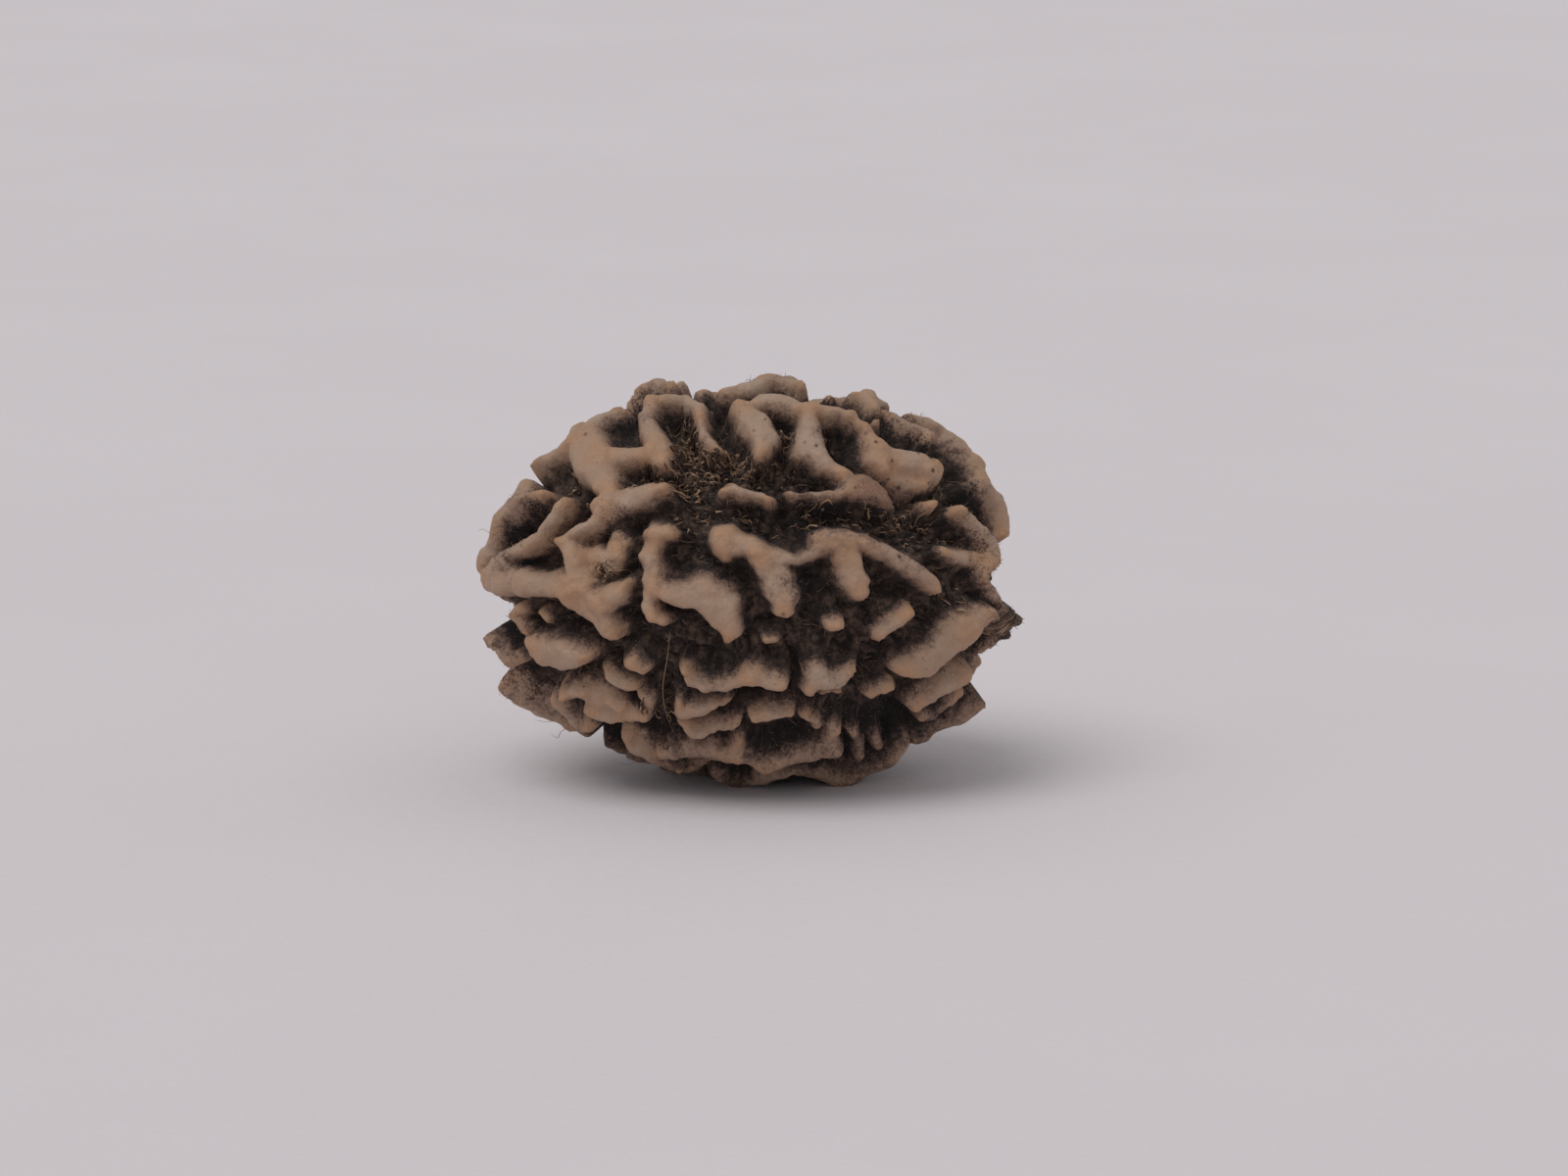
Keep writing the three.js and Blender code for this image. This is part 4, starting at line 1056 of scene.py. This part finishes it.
# %% Pores and grain
PORE_COLOUR = (0.085, 0.042, 0.026, 1)
PORE_EDGE = 1.6  # over 1, so that a pore has a dark floor
GRAIN_COLOUR = (0.09, 0.06, 0.045, 1)
GRAIN_SHARE = 0.15
dots = placed(tree, pores, Place=spot, Scale=2000.0, Radius=0.22, Share=0.55)["Mask"]
dotted = maths(tree, "MULTIPLY", dots, attribute(tree, "pored"))
pitted = mixed(tree, maths(tree, "MULTIPLY", dotted, PORE_EDGE, True), tops, PORE_COLOUR)
grained = mixed(tree, maths(tree, "MULTIPLY", grain, GRAIN_SHARE), pitted, GRAIN_COLOUR)
feed(tree, grained, bsdf["Base Color"])
print("pores", PORE_COLOUR[:3])

# %% Gloss and bumps
ROUGH_DIRT = 0.95
ROUGH_WOOD = 0.56
GRAIN_BUMP = 0.4
PORE_BUMP = 1.5
feed(tree, ramp(tree, line, [(0.3, (ROUGH_DIRT,) * 3), (0.9, (ROUGH_WOOD,) * 3)]), bsdf["Roughness"])
bumps = maths(tree, "ADD", fine, maths(tree, "MULTIPLY", grain, GRAIN_BUMP))
bumps = maths(tree, "SUBTRACT", bumps, maths(tree, "MULTIPLY", dotted, PORE_BUMP))
bump = add_node(tree, "ShaderNodeBump")
bump.inputs["Distance"].default_value = 0.04 * MM
bump.inputs["Strength"].default_value = 0.8
feed(tree, bumps, bump.inputs["Height"])
feed(tree, bump.outputs[0], bsdf["Normal"])
stone_mesh.materials.append(wood)
print(wood.name, "has", len(tree.nodes), "nodes")

# %% [markdown]
# ## The fibre's finish
# Dried fibres range from near black to straw. One material serves them all, because each
# strand stores a shade of its own. A material for each shade would also work, but then a
# strand couldn't lie between two.

# %% Dried fibre
MOTTLED = 0.2
fibre, tree, bsdf = new_material("dried_fibre")
mottling = patches_over(tree, object_place(tree), 2000.0, 0.3, 0.7)
tone = maths(tree, "ADD", attribute(tree, "shade"), maths(tree, "MULTIPLY", mottling, MOTTLED))
feed(tree, ramp(tree, tone, [
    (0.1, (0.026, 0.0175, 0.0165)), (0.6, (0.17, 0.102, 0.068)), (1.0, (0.48, 0.310, 0.195))]),
    bsdf["Base Color"])
bsdf["Roughness"].default_value = 0.6
for piece in strand_pieces:
    piece.data.materials.append(fibre)
print("material", fibre.name)

# %% [markdown]
# ## Fit the pieces to the frame
# The dressed stone stands for the solid one, and the fibres go with it. All ride on the
# solid's only body.

# %% Ride
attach(stone, "root")
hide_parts("seed_stone")
for piece in strand_pieces:
    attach(piece, "root")
print(len(strand_pieces) + 1, "pieces ride on the solid")

# %% [markdown]
# ## Floor, light and camera
# A plain, pale floor reaches far beyond the frame on all sides. One wide sun high up on the
# left gives the soft shadow, and the even light of the world fills it.

# %% Floor
FLOOR_HALF = 3.0  # metres
sheet = bmesh.new()
bmesh.ops.create_grid(sheet, x_segments=8, y_segments=8, size=FLOOR_HALF)
floor_mesh = bpy.data.meshes.new("floor")
sheet.to_mesh(floor_mesh)
sheet.free()
floor = bpy.data.objects.new("floor", floor_mesh)
bpy.context.scene.collection.objects.link(floor)
paper, tree, bsdf = new_material("pale_paper")
spot = object_place(tree)
cloudy = patches_over(tree, spot, 25.0, 0.2, 0.8)
feed(tree, mixed(tree, cloudy, (0.80, 0.745, 0.765, 1), (0.83, 0.775, 0.795, 1)), bsdf["Base Color"])
bsdf["Roughness"].default_value = 0.9
tooth = add_node(tree, "ShaderNodeBump")
tooth.inputs["Distance"].default_value = 0.02 * MM
feed(tree, patches_over(tree, spot, 1500.0, 0.2, 0.8), tooth.inputs["Height"])
feed(tree, tooth.outputs[0], bsdf["Normal"])
floor_mesh.materials.append(paper)
print("floor", 2 * FLOOR_HALF, "m wide")

# %% Light
SUN_WIDTH = math.radians(42)  # a wide sun gives a soft shadow
TO_THE_SUN = (-0.35, -0.35, 1.0)
SKY_STRENGTH = 0.45
sun_data = bpy.data.lights.new("soft_sun", "SUN")
sun_data.energy = 1.0
sun_data.angle = SUN_WIDTH
sun = bpy.data.objects.new("soft_sun", sun_data)
sun.rotation_euler = Vector(TO_THE_SUN).to_track_quat("Z", "Y").to_euler()
bpy.context.scene.collection.objects.link(sun)
world = bpy.data.worlds.new("studio")
bpy.context.scene.world = world
world.use_nodes = True
sky = world.node_tree.nodes["Background"].inputs
sky["Color"].default_value = (0.95, 0.95, 0.97, 1)
sky["Strength"].default_value = SKY_STRENGTH
bpy.context.scene.view_settings.view_transform = "Standard"
print("sun", sun_data.energy, "and sky", SKY_STRENGTH)

# %% [markdown]
# The camera looks slightly down on the seed with a long lens. The scale of the picture and
# the seed's place in it give the camera's distance and target.

# %% Camera
ELEVATION = math.radians(11)
PIXELS_PER_MM = 20.94  # at the seed's middle, in a picture 1600 pixels wide
SEED_PIXEL = (766, 590)
PICTURE = (1600, 1200)
LENS = 135
SENSOR = 36
distance = LENS / SENSOR * PICTURE[0] / PIXELS_PER_MM
up = Vector((0, math.sin(ELEVATION), math.cos(ELEVATION)))
back = Vector((0, -math.cos(ELEVATION), math.sin(ELEVATION)))
right_shift = (PICTURE[0] / 2 - SEED_PIXEL[0]) / PIXELS_PER_MM
up_shift = (SEED_PIXEL[1] - PICTURE[1] / 2) / PIXELS_PER_MM
target = Vector((right_shift, 0, AXIS_HEIGHT)) + up * up_shift
camera_data = bpy.data.cameras.new("camera")
camera_data.lens = LENS
camera_data.sensor_width = SENSOR
camera_data.clip_start = 0.01
camera_data.clip_end = 20
camera = bpy.data.objects.new("camera", camera_data)
camera.location = (target + back * distance) * MM
camera.rotation_mode = "QUATERNION"
camera.rotation_quaternion = (-back).to_track_quat("-Z", "Y")
bpy.context.scene.collection.objects.link(camera)
bpy.context.scene.camera = camera
print("the camera is", round(distance), "mm away")
